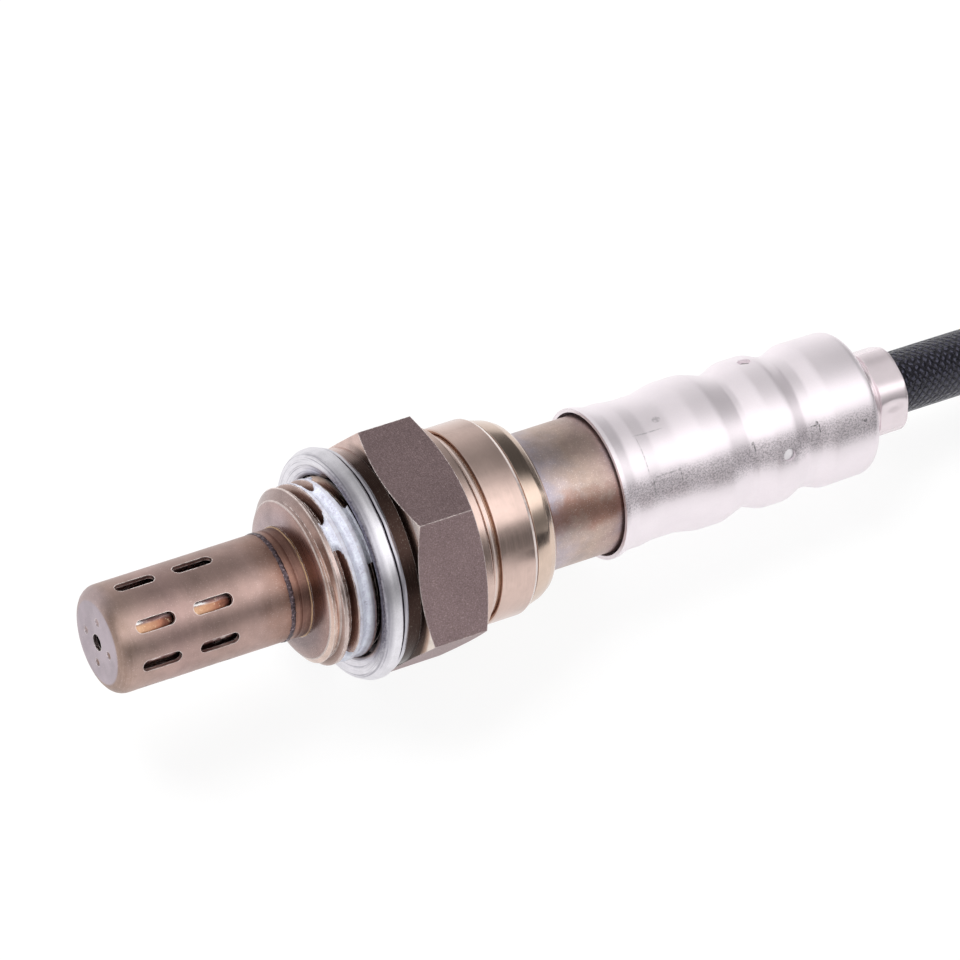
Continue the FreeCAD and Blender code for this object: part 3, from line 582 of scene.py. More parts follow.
def cover_marks(tree):
    """Small dark dents, and fainter lines that the press has left, broken up by noise."""
    dents = [(47.4, 45, 0.34, 0.4), (47.0, 46.5, 0.9, 0.14), (47.6, 50, 0.14, 1.0), (40.05, 45, 0.3, 0.36),
             (40.15, 49, 0.14, 1.0), (52.5, 54, 0.4, 0.3), (31.5, 46, 0.3, 0.3)]
    lines = [(30.0, 46, 3.4, 0.16), (31.6, 52, 0.16, 1.8), (28.4, 54, 0.16, 2.2), (28.1, 28, 0.16, 3.8),
             (29.6, 10, 3.2, 0.16), (31.2, 1, 0.9, 0.7)]
    spots = most_of(tree, *[spot(tree, *place) for place in dents])
    faint = times(tree, most_of(tree, *[spot(tree, *place) for place in lines]), 0.4)
    broken = ramp_of(tree, cloud(tree, along_axis(tree), 0.3, 2, 0.5), [(0.4, 0.3), (0.6, 0.9)])
    return times(tree, most_of(tree, spots, faint), broken)

# %% [markdown]
# With the tints at hand each finish is one row: its colour, how sharply it mirrors, how much it is
# stained, streaked and speckled, and how bright its edges are painted, by wear and by painted highlight.

# %% Finishes of the metal
finishes = {
    "probe": steel("probe_steel", srgb(184, 158, 154), 0.4, stain=0.3, stain_size=2.5, specks=0.35,
                   tint=probe_tint, spread=0.07, wear_and_highlight=1.0, streaks=0.12),
    "inner": steel("coppery_steel", srgb(206, 160, 132), 0.36, grain=0.01, stain=0.3, stain_size=1.2,
                   specks=0.3, tint=inner_tint, spread=0.1, grit=0.3),
    "weld": steel("weld_bead_steel", srgb(124, 108, 114), 0.4, grain=0.05, stain=0.6, stain_size=0.5,
                  specks=1.0, spread=0.1, grit=0.2, salt=0.7),
    "collar": steel("brown_collar_steel", srgb(150, 116, 104), 0.34, grain=0.006, stain=0.3, stain_size=1.0,
                    specks=0.3, tint=collar_tint, spread=0.1, wear_and_highlight=0.2, streaks=0.5),
    # The nose's rings in lines are painted highlights on the edges of its front face, bevel and first crest.
    "nose": steel("nose_steel", srgb(192, 166, 160), 0.28, stain=0.3, stain_size=1.5, specks=0.3,
                  tint=nose_tint, spread=0.07, wear_and_highlight=1.0, streaks=0.06,
                  lines=((-8.25, 0.07, 0.5), (-7.42, 0.07, 0.5), (-6.93, 0.07, 0.4))),
    "gasket": steel("gasket_sheet", srgb(226, 223, 229), 0.34, grain=0.006, stain=0.15, stain_size=1.2,
                    tint=gasket_tint, spread=0.06, wear_and_highlight=0.3, streaks=0.1, salt=0.1),
    "hexagon": steel("hexagon_steel", srgb(180, 156, 157), 0.5, grain=0.05, stain=0.15, stain_size=4.0,
                     specks=0.28, spread=0.05, wear_and_highlight=1.0, grit=0.13, salt=0.38),
    "turned": steel("turned_steel", srgb(196, 168, 156), 0.28, grain=0.006, stain=0.3, stain_size=2.0,
                    specks=0.1, tint=chamfer_shade_and_highlight, wear_and_highlight=0.6, streaks=0.2),
    # The polished rings in lines are painted highlights on the collar's rear edge and on the ridge in the
    # groove.
    "polished": steel("polished_steel", srgb(220, 194, 184), 0.2, grain=0.003, stain=0.2, tint=shell_tint,
                      spread=0.05, wear_and_highlight=0.5, streaks=0.12, lines=((13.38, 0.24, 0.85), (9.0, 0.12, 0.4))),
    # The rolled ring in lines is a painted highlight on the rim's last edge.
    "rolled": steel("rolled_steel", srgb(226, 202, 186), 0.18, grain=0.002, stain=0.15, stain_size=2.0,
                    spread=0.04, wear_and_highlight=0.2, streaks=0.1, lines=((16.1, 0.14, 0.45),)),
    "sleeve": steel("tinted_sleeve_steel", srgb(190, 170, 164), 0.38, grain=0.003, stain=0.3, stain_size=2.0,
                    specks=0.5, tint=sleeve_tint, spread=0.05, salt=0.1),
    "cover": steel("cover_sheet", srgb(255, 246, 251), 0.4, grain=0.0003, stain=0.06, stain_size=4.0,
                   tint=cover_tint, spread=0.01, grit=0.15, marks=cover_marks, metallic=0.72),
    "ferrule": steel("ferrule_sheet", srgb(244, 232, 236), 0.26, grain=0.0003, stain=0.1, stain_size=2.0,
                     spread=0.01, metallic=0.7),
}
print("steels:", ", ".join(finishes))

# %% [markdown]
# ## Making turned pieces
# On a lathe the tool follows an outline while the bar spins. Blender does the same: one vertex is extruded
# along the outline, and Spin carries it round the axis. Where the tool would round a corner, the outline
# gets a short run of points instead of one.

# %% Lathe helpers
def softened(outline, points=8):
    """The outline's (station, radius) points, with an arc at each entry that has a corner radius."""
    result = []
    for i, entry in enumerate(outline):
        here = Vector(entry[:2])
        if len(entry) < 3:
            result.append(here)
            continue
        before = (Vector(outline[i - 1][:2]) - here).normalized()
        after = (Vector(outline[(i + 1) % len(outline)][:2]) - here).normalized()
        half = before.angle(after) / 2
        middle = here + (before + after).normalized() * (entry[2] / math.sin(half))
        start = here + before * (entry[2] / math.tan(half))
        end = here + after * (entry[2] / math.tan(half))
        for step in range(points + 1):
            share = step / points
            way = ((start - middle) * (1 - share) + (end - middle) * share).normalized() * entry[2]
            result.append(middle + way)
    return result


def begin(name):
    """One vertex at the origin, in edit mode."""
    bpy.ops.object.select_all(action="DESELECT")
    bpy.ops.mesh.primitive_plane_add(size=MM)
    piece = bpy.context.object
    piece.name = piece.data.name = name
    bpy.ops.object.mode_set(mode="EDIT")
    bpy.ops.mesh.merge(type="CENTER")
    return piece


def tidy_mesh():
    """Merges doubled points and turns all faces outwards, in edit mode."""
    bpy.ops.mesh.select_all(action="SELECT")
    bpy.ops.mesh.remove_doubles(threshold=1e-7)
    bpy.ops.mesh.normals_make_consistent(inside=False)


def turn(name, outline, steps=144, closed=False):
    """A piece turned from an outline in millimetres round the X axis."""
    piece = begin(name)
    points = [Vector((p[0], 0, p[1])) * MM for p in softened(outline)]
    if closed:
        points.append(points[0])
    bpy.ops.transform.translate(value=points[0])
    for last, point in zip(points, points[1:]):
        bpy.ops.mesh.extrude_region_move(TRANSFORM_OT_translate={"value": point - last})
    bpy.ops.mesh.select_all(action="SELECT")
    bpy.ops.mesh.spin(steps=steps, angle=2 * math.pi, center=(0, 0, 0), axis=(1, 0, 0))
    tidy_mesh()
    bpy.ops.object.mode_set(mode="OBJECT")
    return piece


def pick(piece, test):
    """Selects the vertices whose place passes a test, in edit mode."""
    mesh = bmesh.from_edit_mesh(piece.data)
    mesh.select_mode = {"VERT"}
    for vertex in mesh.verts:
        vertex.select_set(test(vertex.co))
    mesh.select_flush_mode()
    bmesh.update_edit_mesh(piece.data)


def apply_modifier(piece, kind, **settings):
    """Adds one modifier and applies it."""
    modifier = piece.modifiers.new(kind.lower(), kind)
    for key, value in settings.items():
        setattr(modifier, key, value)
    bpy.context.view_layer.objects.active = piece
    bpy.ops.object.modifier_apply(modifier=modifier.name)


def activate(*parts):
    """Selects these objects alone and makes the first one active."""
    bpy.ops.object.select_all(action="DESELECT")
    for part in parts:
        part.select_set(True)
    bpy.context.view_layer.objects.active = parts[0]


def joined(parts):
    """Joins objects into the first one."""
    activate(*parts)
    if len(parts) > 1:
        bpy.ops.object.join()
    return parts[0]


def cut_away(piece, cutters, operation="DIFFERENCE"):
    """Cuts with all the cutters at once and removes them."""
    cutter = joined(cutters)
    apply_modifier(piece, "BOOLEAN", operation=operation, solver="EXACT", object=cutter)
    bpy.data.objects.remove(cutter)


def lay_down(piece, *nodes, slot, finish=None, smooth=30):
    """Moves a piece from the modelling axis to its place, hides the imported nodes that it stands in for,
    hangs it on the root and gives it a finish.
    """
    piece.data.transform(laid)
    activate(piece)
    bpy.ops.object.shade_smooth_by_angle(angle=math.radians(smooth))
    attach(piece, "root")
    if nodes:
        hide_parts(*nodes)
    if finish:
        wear(piece, finishes[finish])
    print("%s: %d faces" % (piece.name, len(piece.data.polygons)))


def copies_round(model, angles):
    """Copies of a model, each with its own mesh, turned round the sensor's axis from the top towards -Y."""
    copies = []
    for angle in angles:
        copy = model.copy()
        copy.data = model.data.copy()
        copy.data.transform(Matrix.Rotation(math.radians(angle), 4, "X"))
        bpy.context.collection.objects.link(copy)
        copies.append(copy)
    bpy.data.objects.remove(model)
    return copies

# %% [markdown]
# ## Probe
# The outer tube is a drawn cup. Exhaust gas enters by two rows of slots, and four small dimples and one
# hole mark its end. The cup is turned with its wall, the slots are cut with a round-ended cutter, and its
# edges stay thin, as in sheet metal.

# %% Probe tube
tube_radius = 5.41
wall = 0.4
tip = -29.15
tube_end = -10.75
probe = turn("probe_tube", [
    (tip, 0.85), (tip, tube_radius, 1.45), (tube_end, tube_radius), (tube_end, tube_radius - wall),
    (tip + wall, tube_radius - wall, 0.9), (tip + wall, 0.85)], steps=180, closed=True)
print("wall: %.2f mm, length: %.2f mm" % (wall, tube_end - tip))

# %% [markdown]
# The slots are punched, which gives them round ends. Eight bars with round ends stand round the tube for
# each row, and one Boolean takes them all out, together with the small balls that leave the dimples in the
# end.

# %% Slots and dimples
slot_length = 4.15
slot_width = 1.3


def slot_cutter(station):
    """A cylinder stretched to a round-ended bar, standing at the top of the tube."""
    bpy.ops.object.select_all(action="DESELECT")
    bpy.ops.mesh.primitive_cylinder_add(vertices=24, radius=slot_width / 2 * MM, depth=3 * MM,
                                        location=(0, 0, 0))
    cutter = bpy.context.object
    bpy.ops.object.mode_set(mode="EDIT")
    reach = (slot_length - slot_width) * MM
    pick(cutter, lambda place: place.x > 0.01 * MM)
    bpy.ops.transform.translate(value=(reach / 2, 0, 0))
    pick(cutter, lambda place: place.x < -0.01 * MM)
    bpy.ops.transform.translate(value=(-reach / 2, 0, 0))
    bpy.ops.mesh.select_all(action="SELECT")
    bpy.ops.transform.translate(value=(station * MM, 0, tube_radius * MM))
    bpy.ops.object.mode_set(mode="OBJECT")
    return cutter


slot_angles = (-18.0, 33.5, 76.5, 121.5, 166.5, 211.5, 256.5, 299.0)
slots = []
for station in (-24.95, -18.8):
    slots += copies_round(slot_cutter(station), slot_angles)
bpy.ops.mesh.primitive_uv_sphere_add(segments=20, ring_count=12, radius=0.5 * MM,
                                     location=((tip - 0.25) * MM, 0, 2.35 * MM))
dimple = bpy.context.object
dimple.data.transform(Matrix.Translation(dimple.location))
dimple.location = (0, 0, 0)
cut_away(probe, slots + copies_round(dimple, (-15, 75, 165, 255)))
lay_down(probe, "outer_protection_tube", slot="probe_tube_steel", finish="probe")

# %% [markdown]
# The tube is welded to its collar. The bead is a thin dark ring, a little proud and never quite even, so it
# is a torus whose points are pushed about by smooth noise. The noise starts from a fixed seed, so the bead
# comes out the same each time. Behind it the turned collar runs to a flange.

# %% Weld bead and collar
noise.seed_set(7)


def stir(piece, test, size, depth):
    """Pushes the chosen points about by smooth noise; size and depth in millimetres."""
    for vertex in piece.data.vertices:
        place = vertex.co / MM
        if test(place):
            push = noise.noise_vector(place / size) * depth * MM
            vertex.co += Vector((push.x, 0, 0)) + Vector((0, place.y, place.z)).normalized() * push.y


bead_station = -10.85
bead_outline = [(bead_station + 0.26 * math.cos(math.radians(a)), 5.4 + 0.08 * math.sin(math.radians(a)))
                for a in range(0, 360, 30)]
bead = turn("weld_bead", bead_outline, steps=260, closed=True)
stir(bead, lambda place: True, 0.3, 0.07)
lay_down(bead, slot="collar_steel", smooth=80, finish="weld")
collar = turn("tube_collar_ring", [
    (-10.8, 5.2), (-10.6, 5.42, 0.1), (-9.9, 5.44), (-9.86, 5.425), (-9.8, 5.44), (-8.95, 5.46),
    (-8.86, 5.56, 0.05), (-8.7, 5.56, 0.05), (-8.6, 5.4), (-8.2, 5.3)], steps=200, closed=True)
lay_down(collar, "tube_collar", slot="collar_steel", smooth=40, finish="collar")

# %% [markdown]
# ## Threaded nose
# The thread is one groove that winds round the nose. A fine grid of points is turned first, and then each
# point takes the radius that the winding groove gives it there. The grid needs rows closer than the
# groove's smallest edge, so the piece is dense only along the thread.

# %% Nose and thread
pitch = 1.5
crest_station = -5.65
crest_angle = 34
crest_flat = 0.4
flank = 0.42
thread_radius = 9.0
root_radius = 8.15
seat = -1.45


def thread_shape(station, angle):
    """Radius of a right-hand thread at a station, for an angle from the top towards -Y."""
    phase = ((station - crest_station) / pitch - (angle - crest_angle) / 360) % 1
    away = min(phase, 1 - phase) * pitch
    rise = (away - crest_flat / 2) / flank
    return thread_radius - (thread_radius - root_radius) * min(max(rise, 0), 1)


def angle_of(place):
    """Angle of a point round the axis, in degrees from the top towards -Y."""
    return math.degrees(math.atan2(-place.y, place.z)) % 360


rows = [(-8.2 + 0.035 * i, 8.0) for i in range(168)]
nose = turn("threaded_nose", [
    (-7.9, 5.5), (-8.75, 5.55), (-8.75, 5.75), (-8.42, 7.5), (-8.3, 7.86)] + rows + [
    (-2.3, 8.0), (seat, 8.0), (seat, 5.5)], steps=240, closed=True)
for vertex in nose.data.vertices:
    place = vertex.co / MM
    if -8.21 < place.x < -2.35 and place.yz.length > 7.9:
        front = 8.0 + (place.x + 8.2) * 1.25
        rear = 8.0 + max(-2.6 - place.x, 0) * 2.5
        radius = min(thread_shape(place.x, angle_of(place)), front, rear)
        vertex.co.yz = place.yz.normalized() * radius * MM
lay_down(nose, "sensor_shell", slot="shell_steel", smooth=30, finish="nose")

# %% [markdown]
# Grey assembly paste fills the thread's roots from the second turn on. It is a skin just above the roots
# whose height wanders. The last fitting has wiped it out of the roots in long ovals, and there the bare
# metal shows. The paste ends before the gasket, and runs on a little further over the top.

# %% Paste in the thread
bare_ovals = ((-6.4, -34, 42), (-6.4, 68, 46), (-4.9, -50, 26), (-3.4, -26, 26),
              (-6.4, 200, 30), (-4.9, 170, 24), (-4.9, 260, 40))


def signed(angle):
    """The same angle, from -180 to 180 degrees."""
    return (angle + 180) % 360 - 180


def wiped(station, angle):
    """1 in the middle of a bare oval and 0 outside them; stations follow the winding root."""
    along_root = station - pitch * (signed(angle) - crest_angle) / 360
    depth = 0
    for middle, turned, half in bare_ovals:
        away = signed(angle - turned) / half
        aside = (along_root - middle) / 0.62
        depth = max(depth, 1 - (abs(away) ** 3 + abs(aside) ** 3))
    return min(max(depth * 2.5, 0), 1)


rows = [(-7.5 + 0.08 * i, 8.6) for i in range(61)]
paste = turn("thread_paste", [(-7.6, 8.0)] + rows + [(-2.65, 8.1)], steps=300)
for vertex in paste.data.vertices:
    place = vertex.co / MM
    if place.yz.length > 8.4:
        angle = angle_of(place)
        broad = noise.noise(Vector((place.x * 0.8, place.y * 0.4, place.z * 0.4)))
        fine = noise.noise(place * 2.2) + 0.6 * noise.noise(place * 6)
        root = 1 - abs(((place.x - crest_station) / pitch - (angle - crest_angle) / 360) % 1 - 0.5) * 2
        root = max(root - 0.25, 0) / 0.75
        behind_crest = place.x - pitch * (signed(angle) - crest_angle) / 360 + 7.05
        height = 9.04 - 0.36 * root ** 0.8 + 0.02 * broad + 0.025 * fine - 1.2 * wiped(place.x, angle)
        paste_end = -3.1 if angle < 40 or angle > 300 else -3.74
        radius = min(height, 8.1 + max(paste_end - place.x, 0) * 4, 8.0 + max(behind_crest, 0) * 3)
        vertex.co.yz = place.yz.normalized() * radius * MM
lay_down(paste, slot="thread_paste", smooth=60)

# %% [markdown]
# The paste is a dry grey cream: grainy, and smeared thin on the crests, where brown metal shows through.
# The same count of turns that winds the thread tells the finish where the crests are.

# %% Finish of the paste
material, tree, out = new_material("assembly_paste")
grains = cloud(tree, along_axis(tree), 0.16, 4, 0.7)
broad = cloud(tree, along_axis(tree), 0.9, 4, 0.6)
mixed = plus(tree, times(tree, grains, 0.5), times(tree, broad, 0.5))
tone = ramp_of(tree, mixed, [(0.32, 150, 146, 156), (0.42, 214, 214, 230), (0.58, 240, 244, 255)])
turns_on = math_node(tree, "DIVIDE", minus(tree, station_of(tree), crest_station), pitch)
turns_on = minus(tree, turns_on, math_node(tree, "DIVIDE", polar(tree)[1], 360.0))
phase = math_node(tree, "FRACT", plus(tree, turns_on, crest_angle / 360 + 0.5))
crest = math_node(tree, "ABSOLUTE", minus(tree, phase, 0.5))
edge = math_node(tree, "ABSOLUTE", minus(tree, crest, 0.12))
thin = most_of(tree, between(tree, edge, 0.05, 0.01, 0.0, 0.5), between(tree, crest, 0.14, 0.1, 0.0, 0.3))
thin = times(tree, thin, between(tree, grains, 0.35, 0.6))
tone = blended(tree, thin, tone, srgb(132, 104, 100))
last_turn = times(tree, between(tree, station_of(tree), -4.5, -4.2, 0.0, 0.6),
                  between(tree, polar(tree)[1], 34, 44))
tone = blended(tree, last_turn, tone, srgb(128, 122, 130))
finish_with(tree, out, tone, 0.4, raised(tree, grains, 0.06, 0.8), 0.15)
wear(paste, material)
print("paste: %d bare ovals" % len(bare_ovals))

# %% [markdown]
# ## Crush gasket
# A folded ring of thin sheet. Its front is rolled, its edges meet in a dark seam behind the widest place,
# and a thin lip inside keeps it on the thread. The last fitting has squeezed it unevenly: the lip is lifted
# off the thread on the upper side, which leaves a dark gap, and the rear edge wanders a little.

# %% Gasket
gasket = turn("gasket", [
    (-1.7, 9.15), (-3.45, 9.2, 0.08), (-3.99, 10.5, 0.8), (-3.88, 11.2, 0.5), (-3.0, 11.66, 0.7),
    (-2.4, 11.66, 0.15), (-2.24, 11.5, 0.05), (-2.2, 10.7), (-2.06, 10.7), (-2.0, 11.34, 0.05),
    (-1.8, 11.4, 0.1), (-1.5, 11.25, 0.12), (seat, 10.9), (seat, 8.35), (-1.7, 8.2), (-2.1, 8.35),
    (-2.2, 9.0), (-3.0, 9.05)],
    steps=240, closed=True)
stir(gasket, lambda place: place.x > -2.5 and place.yz.length > 11.2, 2.5, 0.06)
lip_outside = 10.45
for vertex in gasket.data.vertices:
    place = vertex.co / MM
    lifted = 0.8 * max(1 - (abs(signed(angle_of(place)) - 15) / 45) ** 4, 0)
    if place.x < -3.2 and place.yz.length < lip_outside:
        radius = place.yz.length + (lip_outside - place.yz.length) * lifted
        vertex.co.yz = place.yz.normalized() * radius * MM
lay_down(gasket, "crush_gasket", slot="gasket_steel", smooth=40, finish="gasket")
flap = turn("gasket_flap", [(-3.3, 9.12), (-3.42, 9.3), (-3.36, 9.34), (-3.22, 9.16)], steps=200, closed=True)
stir(flap, lambda place: True, 3.0, 0.1)
lay_down(flap, slot="gasket_steel", smooth=40, finish="gasket")

# %% [markdown]
# ## Hexagon
# A hexagon bar is chamfered on the lathe at both ends, which leaves curved edges on its faces. In Blender a
# six-sided prism and a turned form with the two chamfers are put together, and only what both share is
# kept. A small bevel then breaks the edges.

# %% Hexagon
across_flats = 22.0
hexagon_rear = 7.3
corner_radius = across_flats / math.sqrt(3)
bpy.ops.object.select_all(action="DESELECT")
bpy.ops.mesh.primitive_cylinder_add(vertices=6, radius=corner_radius * MM, depth=hexagon_rear * MM)
hexagon = bpy.context.object
hexagon.name = hexagon.data.name = "hexagon"
hexagon.data.transform(Matrix.Translation((hexagon_rear / 2 * MM, 0, 0))
                       @ Matrix.Rotation(math.radians(90), 4, "Y"))
low = min(vertex.co.z for vertex in hexagon.data.vertices)
if low < -(across_flats / 2 + 0.1) * MM:
    hexagon.data.transform(Matrix.Rotation(math.radians(30), 4, "X"))
chamfers = turn("chamfers", [
    (0, 0), (0, 10.95), (0.82, corner_radius + 0.02), (0.9, corner_radius + 1), (6.5, corner_radius + 1),
    (6.55, corner_radius), (hexagon_rear, 10.9), (hexagon_rear, 0)], steps=240)
cut_away(hexagon, [chamfers], "INTERSECT")
lay_down(hexagon, slot="shell_steel", smooth=30, finish="hexagon")
hexagon.data.materials.append(finishes["turned"])
for face in hexagon.data.polygons:
    if abs(face.normal.dot(rearward)) > 0.3:
        face.material_index = 1
apply_modifier(hexagon, "BEVEL", width=0.11 * MM, segments=2, limit_method="ANGLE",
               angle_limit=math.radians(20), harden_normals=True)
print("hexagon: %.1f mm across the flats" % across_flats)

# %% [markdown]
# The gasket doesn't press on the hexagon itself but on a short round seat, turned on the shell before it.

# %% Seat behind the gasket
seat_ring = turn("seat_ring", [(seat, 7.9), (seat, 10.9, 0.12), (0.05, 10.95), (0.05, 7.9)],
                 steps=200, closed=True)
lay_down(seat_ring, slot="shell_steel", finish="turned")

# %% [markdown]
# ## Polished collar and rolled rim
# Behind the hexagon come a step, a groove with a thin ridge in it, and the polished collar, whose rim is
# rolled over in a smooth fall to hold the inner parts. Collar and rim are two turned pieces here, because
# the rolled metal is brighter and warmer than the ground collar, and a fine step parts them.

# %% Collar and rim
collar = turn("polished_collar", [
    (7.1, 8.0), (7.1, 10.77), (8.2, 10.77, 0.2), (8.3, 9.5, 0.1), (8.72, 9.5, 0.05), (8.76, 9.68, 0.05),
    (9.26, 9.68, 0.07), (9.3, 9.4, 0.04), (9.48, 9.4, 0.04), (9.5, 10.0, 0.2), (13.18, 10.0, 0.04),
    (13.5, 9.82, 0.04), (13.56, 9.5), (13.56, 8.0)], steps=288, closed=True)
lay_down(collar, slot="shell_steel", smooth=40, finish="polished")
rim = turn("rolled_rim", [
    (13.5, 8.0), (13.5, 9.46), (13.68, 9.46), (13.7, 9.66, 0.04), (15.4, 9.2, 1.2), (16.1, 8.8, 0.15),
    (16.4, 8.45, 0.15), (16.5, 7.06), (15.5, 7.06), (15.5, 8.0)], steps=288, closed=True)
lay_down(rim, slot="shell_steel", smooth=50, finish="rolled")

# %% [markdown]
# ## Inner sleeve
# A plain tube shows between the rim and the cover. Heat has tinted it brown, with bluish ends.

# %% Sleeve
sleeve = turn("heat_tinted_sleeve", [
    (15.0, 6.55), (15.0, 7.0), (25.3, 7.0, 0.8), (26.7, 6.6, 0.8), (37.0, 6.6), (37.0, 6.15),
    (26.7, 6.15, 0.8), (25.3, 6.55, 0.8)], steps=200, closed=True)
lay_down(sleeve, "inner_sleeve", slot="sleeve_steel", smooth=40, finish="sleeve")

# %% [markdown]
# ## Rear cover
# A drawn cover with a flared rim. Two rings are crimped into it over the rubber inside, which leaves three
# soft bulges. Air gets in by small vents in the middle bulge, and six flats are pressed round the lead.
# That ferrule is part of the same sheet, but the pressing has made it smoother than the cover, so it has
# its own finish.

# %% Cover
cover_line = [
    (24.76, 7.74), (25.21, 7.74, 0.6), (26.46, 7.34, 1.6), (27.96, 7.34, 2.5), (29.46, 7.12, 3.0),
    (32.16, 7.12, 3.5), (34.66, 7.62, 3.5), (37.2, 7.62, 2.2), (39.65, 6.84, 1.0), (40.35, 6.84, 1.0),
    (42.2, 7.55, 1.8), (44.6, 7.55, 1.8), (46.2, 6.84, 1.0), (47.6, 6.84, 1.0), (49.1, 7.45, 1.8),
    (54.1, 7.37, 1.1), (55.3, 4.4, 0.3), (56.1, 4.12, 0.12), (56.2, 4.48, 0.06)]
ferrule = [(56.2 + 0.155 * i, 4.5) for i in range(1, 20)]
cover_wall = 0.4
inside = [(entry[0], entry[1] - cover_wall) + entry[2:] for entry in cover_line[::-1]]
mouth = [(59.3, 4.4), (59.3, 4.0), (59.0, 3.75), (56.2, 3.75)]
cover = turn("drawn_cover", cover_line + ferrule + mouth + inside, steps=192, closed=True)
ferrule_edge = 43.5
ferrule_flat = 4.27
ferrule_begins = 55.4
for vertex in cover.data.vertices:
    place = vertex.co / MM
    if place.x > 56.16 and place.yz.length > 4.3:
        turned = (angle_of(place) - ferrule_edge) % 60 - 30
        flat = ferrule_flat / math.cos(math.radians(turned))
        dent = math.hypot((angle_of(place) - 62) / 11, (place.x - 57.6) / 1.3)
        radius = (place.yz.length ** -60 + flat ** -60) ** (-1 / 60) - 0.1 * max(1 - dent, 0)
        vertex.co.yz = place.yz.normalized() * radius * MM
bpy.ops.object.select_all(action="DESELECT")
bpy.ops.mesh.primitive_cylinder_add(vertices=32, radius=0.66 * MM, depth=4 * MM)
vent = bpy.context.object
vent.data.transform(Matrix.Translation((43.5 * MM, 0, 7.5 * MM)))
cut_away(cover, copies_round(vent, (-28.5, 61.5, 151.5, 241.5)))
lay_down(cover, "rear_cover", slot="cover_steel", smooth=45, finish="cover")
cover.data.materials.append(finishes["ferrule"])
for face in cover.data.polygons:
    if (face.center - hexagon_front).dot(rearward) > ferrule_begins * MM:
        face.material_index = 1
print("ferrule: %.2f mm across the flats" % (2 * ferrule_flat))

# %% [markdown]
# ## Braided lead
# The lead leaves the ferrule along the axis, sinks to the table and is put away as a coil outside the
# picture. A cord is one smooth line, so its route is a NURBS curve through few points, twelve to a turn of
# the coil. Such a curve runs a little inside its points, so they stand a little further out.

# %% Route of the lead
braid_radius = 3.2
layer = 6.4
lead_start = 56.4
sag = 0.35
aside = 0.7
coil_radius = 32.0 * MM
curve_share = 0.983
out_of_ferrule = laid @ Vector((lead_start * MM, 0, sag * MM))
table_level = (braid_radius + 0.45) * MM
run_1 = laid @ Vector(((lead_start + 14.0) * MM, 0, sag * MM))
run_2 = Vector((run_1.x + 15.0 * MM, aside * MM, table_level))
run_3 = Vector((run_2.x + 7.0 * MM, aside * MM, table_level))
coil_middle = Vector((run_3.x + 21.0 * MM, run_3.y - coil_radius, 0))
control_radius = coil_radius / curve_share
turns = []
for i in range(19):
    angle = math.radians(90 - 15 - 30 * i) if i else math.radians(90)
    climb = min(max((i - 8) / 5, 0), 1)
    height = table_level + layer * MM * (climb * climb * (3 - 2 * climb))
    turns.append(Vector((coil_middle.x + control_radius * math.cos(angle),
                         coil_middle.y + control_radius * math.sin(angle), height)))
print("route points:", 4 + len(turns))

# %% [markdown]
# The tube is swept along the route.

# %% Lead
lead_end = Vector((turns[-1].x - 24.5 * MM, turns[-1].y, turns[-1].z))
lead_line = [out_of_ferrule, run_1, run_2, run_3] + turns + [lead_end + Vector((9.0 * MM, 0, 0)), lead_end]
curve = bpy.data.curves.new("lead_route", "CURVE")
curve.dimensions = "3D"
spline = curve.splines.new("NURBS")
spline.points.add(len(lead_line) - 1)
for point, place in zip(spline.points, lead_line):
    point.co = (*place, 1)
spline.order_u = 3
spline.use_endpoint_u = True
spline.resolution_u = 12
curve.use_fill_caps = True
curve.bevel_resolution = 10
route = bpy.data.objects.new("lead_route", curve)
bpy.context.collection.objects.link(route)


def as_mesh(owner, thickness):
    """The curve as a mesh: its own line, or a tube of that radius."""
    owner.data.bevel_depth = thickness
    bpy.context.view_layer.update()
    return bpy.data.meshes.new_from_object(owner.evaluated_get(bpy.context.evaluated_depsgraph_get()))


line = as_mesh(route, 0)
lead_path = [vertex.co.copy() for vertex in line.vertices]
distance = [0.0]
for start, end in zip(lead_path, lead_path[1:]):
    distance.append(distance[-1] + (end - start).length)
tube = as_mesh(route, braid_radius * MM)
for loop in tube.uv_layers[0].data:
    loop.uv.x = distance[round(loop.uv.x * (len(distance) - 1))] / MM
lead = bpy.data.objects.new("braided_lead", tube)
bpy.context.collection.objects.link(lead)
bpy.data.objects.remove(route)
activate(lead)
bpy.ops.object.shade_smooth()
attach(lead, "root")
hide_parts("braided_sleeve", "sleeve_coil")
print("lead length: %.3f m" % distance[-1])

# %% [markdown]
# The braid is black yarn, laid in bundles that cross over and under each other. The tube's UV map runs in
# millimetres along the lead and once round it, so the bundles keep their size in every bend. Two slanting
# counts number the bundles of each direction, and their sum says which one is on top.

# %% Braid
bundle_step = 0.8
bundles_round = 20
material, tree, out = new_material("braid")
uv = add_node(tree, "ShaderNodeSeparateXYZ", {0: add_node(tree, "ShaderNodeTexCoord").outputs["UV"]})
forward = math_node(tree, "DIVIDE", uv.outputs["X"], bundle_step)
sideways = times(tree, uv.outputs["Y"], float(bundles_round))
place = add_node(tree, "ShaderNodeTexCoord").outputs["Object"]
fluff = cloud(tree, place, 0.25 * MM, 3, 0.6)
waver = cloud(tree, place, 0.9 * MM, 2, 0.6)
forward = plus(tree, forward, times(tree, waver, 0.9))
sideways = plus(tree, sideways, times(tree, fluff, 0.5))
counts = [plus(tree, forward, sideways), minus(tree, forward, sideways)]
whole = [math_node(tree, "FLOOR", count) for count in counts]
crossing = [math_node(tree, "SINE", times(tree, math_node(tree, "FRACT", count), math.pi)) for count in counts]
on_top = math_node(tree, "FLOORED_MODULO", plus(tree, *whole), 2.0)
under = minus(tree, 1.0, on_top)
across = plus(tree, times(tree, on_top, crossing[0]), times(tree, under, crossing[1]))
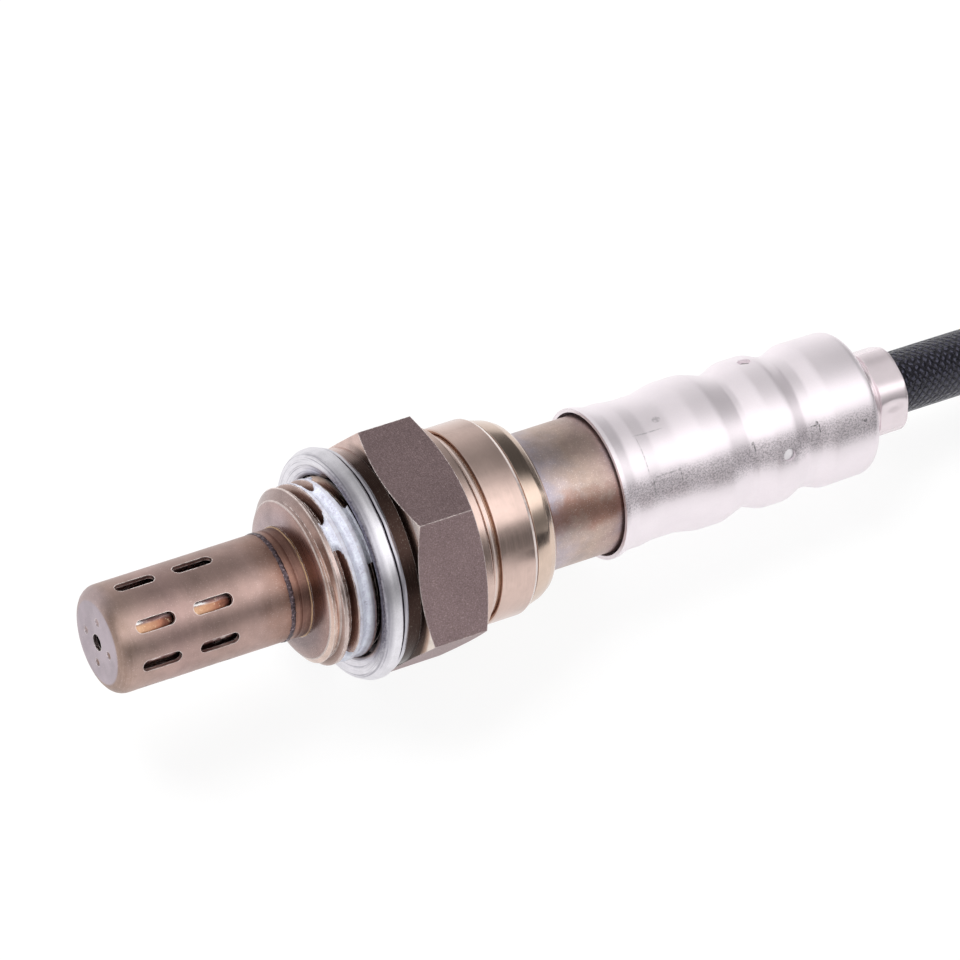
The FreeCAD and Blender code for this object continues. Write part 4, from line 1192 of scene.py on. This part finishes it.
lengthwise = plus(tree, times(tree, on_top, crossing[1]), times(tree, under, crossing[0]))
bundle = times(tree, math_node(tree, "POWER", across, 0.6), math_node(tree, "POWER", lengthwise, 0.4))
height = plus(tree, bundle, times(tree, fluff, 0.35))
# Painted shade: the tone is darker down between the bundles.
tone = ramp_of(tree, height, [(0.5, 8, 7, 8), (0.9, 24, 22, 28), (1.1, 44, 44, 56)])
gloss = {"Specular IOR Level": 0.9, "Specular Tint": srgb(228, 226, 250)}
finish_with(tree, out, tone, 0.2, raised(tree, height, 0.34, 1.0), 0.0, **gloss)
wear(lead, material)
print("braid: %d bundles round the lead" % bundles_round)

# %% [markdown]
# ## Everything else
# The plug, its boot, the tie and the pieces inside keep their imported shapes. Each gets a plain finish of
# its own: a soft grain in the colour and in the surface.

# %% Plain finishes
def plain(name, colour, roughness, metallic=0.0, size=0.4, grain=0.03):
    """A moulded, pressed or drawn surface with a soft grain."""
    material, tree, out = new_material(name)
    fine = cloud(tree, along_axis(tree), size, 3, 0.6)
    shade = blended(tree, 0.3, colour, ramp_of(tree, fine, [(0.3, 0.55), (0.7, 1.0)]), "MULTIPLY")
    finish_with(tree, out, shade, roughness, raised(tree, fine, grain), metallic)
    return material


membrane, tree, out = new_material("membrane_finish")
# Painted shade: the membrane is greyer in the vents that face away from the viewer, the top one among them.
vent_shade = ramp_of(tree, between(tree, polar(tree)[1], 0, 30), [(0.0, 206, 200, 202), (1.0, 255, 253, 255)])
finish_with(tree, out, vent_shade, 0.7, None, 0.0)
white_wire = srgb(226, 224, 220)
dressing = (
    (finishes["inner"], "inner_protection_tube"),
    (plain("tape_finish", srgb(34, 34, 38), 0.5, 0.0, 0.8, 0.08), "coil_tie"),
    (plain("boot_rubber_finish", srgb(30, 30, 32), 0.6, 0.0, 0.5, 0.05), "connector_boot"),
    (plain("plug_plastic_finish", srgb(46, 46, 50), 0.42), "connector_housing"),
    (plain("seal_rubber_finish", srgb(150, 70, 44), 0.5), "connector_seal"),
    (plain("lock_plastic_finish", srgb(196, 194, 188), 0.4), "connector_lock"),
    (membrane, "vent_membrane"),
    (plain("grommet_rubber_finish", srgb(60, 58, 60), 0.6), "cable_grommet"),
    (plain("zirconia_finish", srgb(236, 230, 214), 0.4), "zirconia_thimble"),
    (plain("heater_finish", srgb(214, 208, 200), 0.45), "heater_rod"),
    (plain("talc_finish", srgb(206, 202, 192), 0.8), "talc_packing"),
    (plain("white_ceramic_finish", srgb(232, 228, 220), 0.5), "support_insulator", "contact_carrier"),
    (plain("bright_steel_finish", srgb(200, 198, 200), 0.3, 1.0),
     "thimble_seal_ring", "disc_spring", "crimp_ring"),
    (plain("contact_metal_finish", srgb(214, 196, 150), 0.3, 1.0), "connector_terminals",
     "contact_heater_1", "contact_heater_2", "contact_signal", "contact_ground"),
    (plain("white_wire_finish", white_wire, 0.45), "lead_wire_heater_1"),
    (plain("second_white_wire_finish", white_wire, 0.45), "lead_wire_heater_2"),
    (plain("grey_wire_finish", srgb(128, 128, 130), 0.45), "lead_wire_ground"),
    (plain("black_wire_finish", srgb(30, 30, 32), 0.45), "lead_wire_signal"),
)
for finish, *names in dressing:
    for name in names:
        wear(frame["nodes"][name], finish)
print("dressed nodes:", sum(len(row) - 1 for row in dressing))

# %% [markdown]
# ## Last update
# The view layer is brought up to date once more.

# %% Last update
bpy.context.view_layer.update()
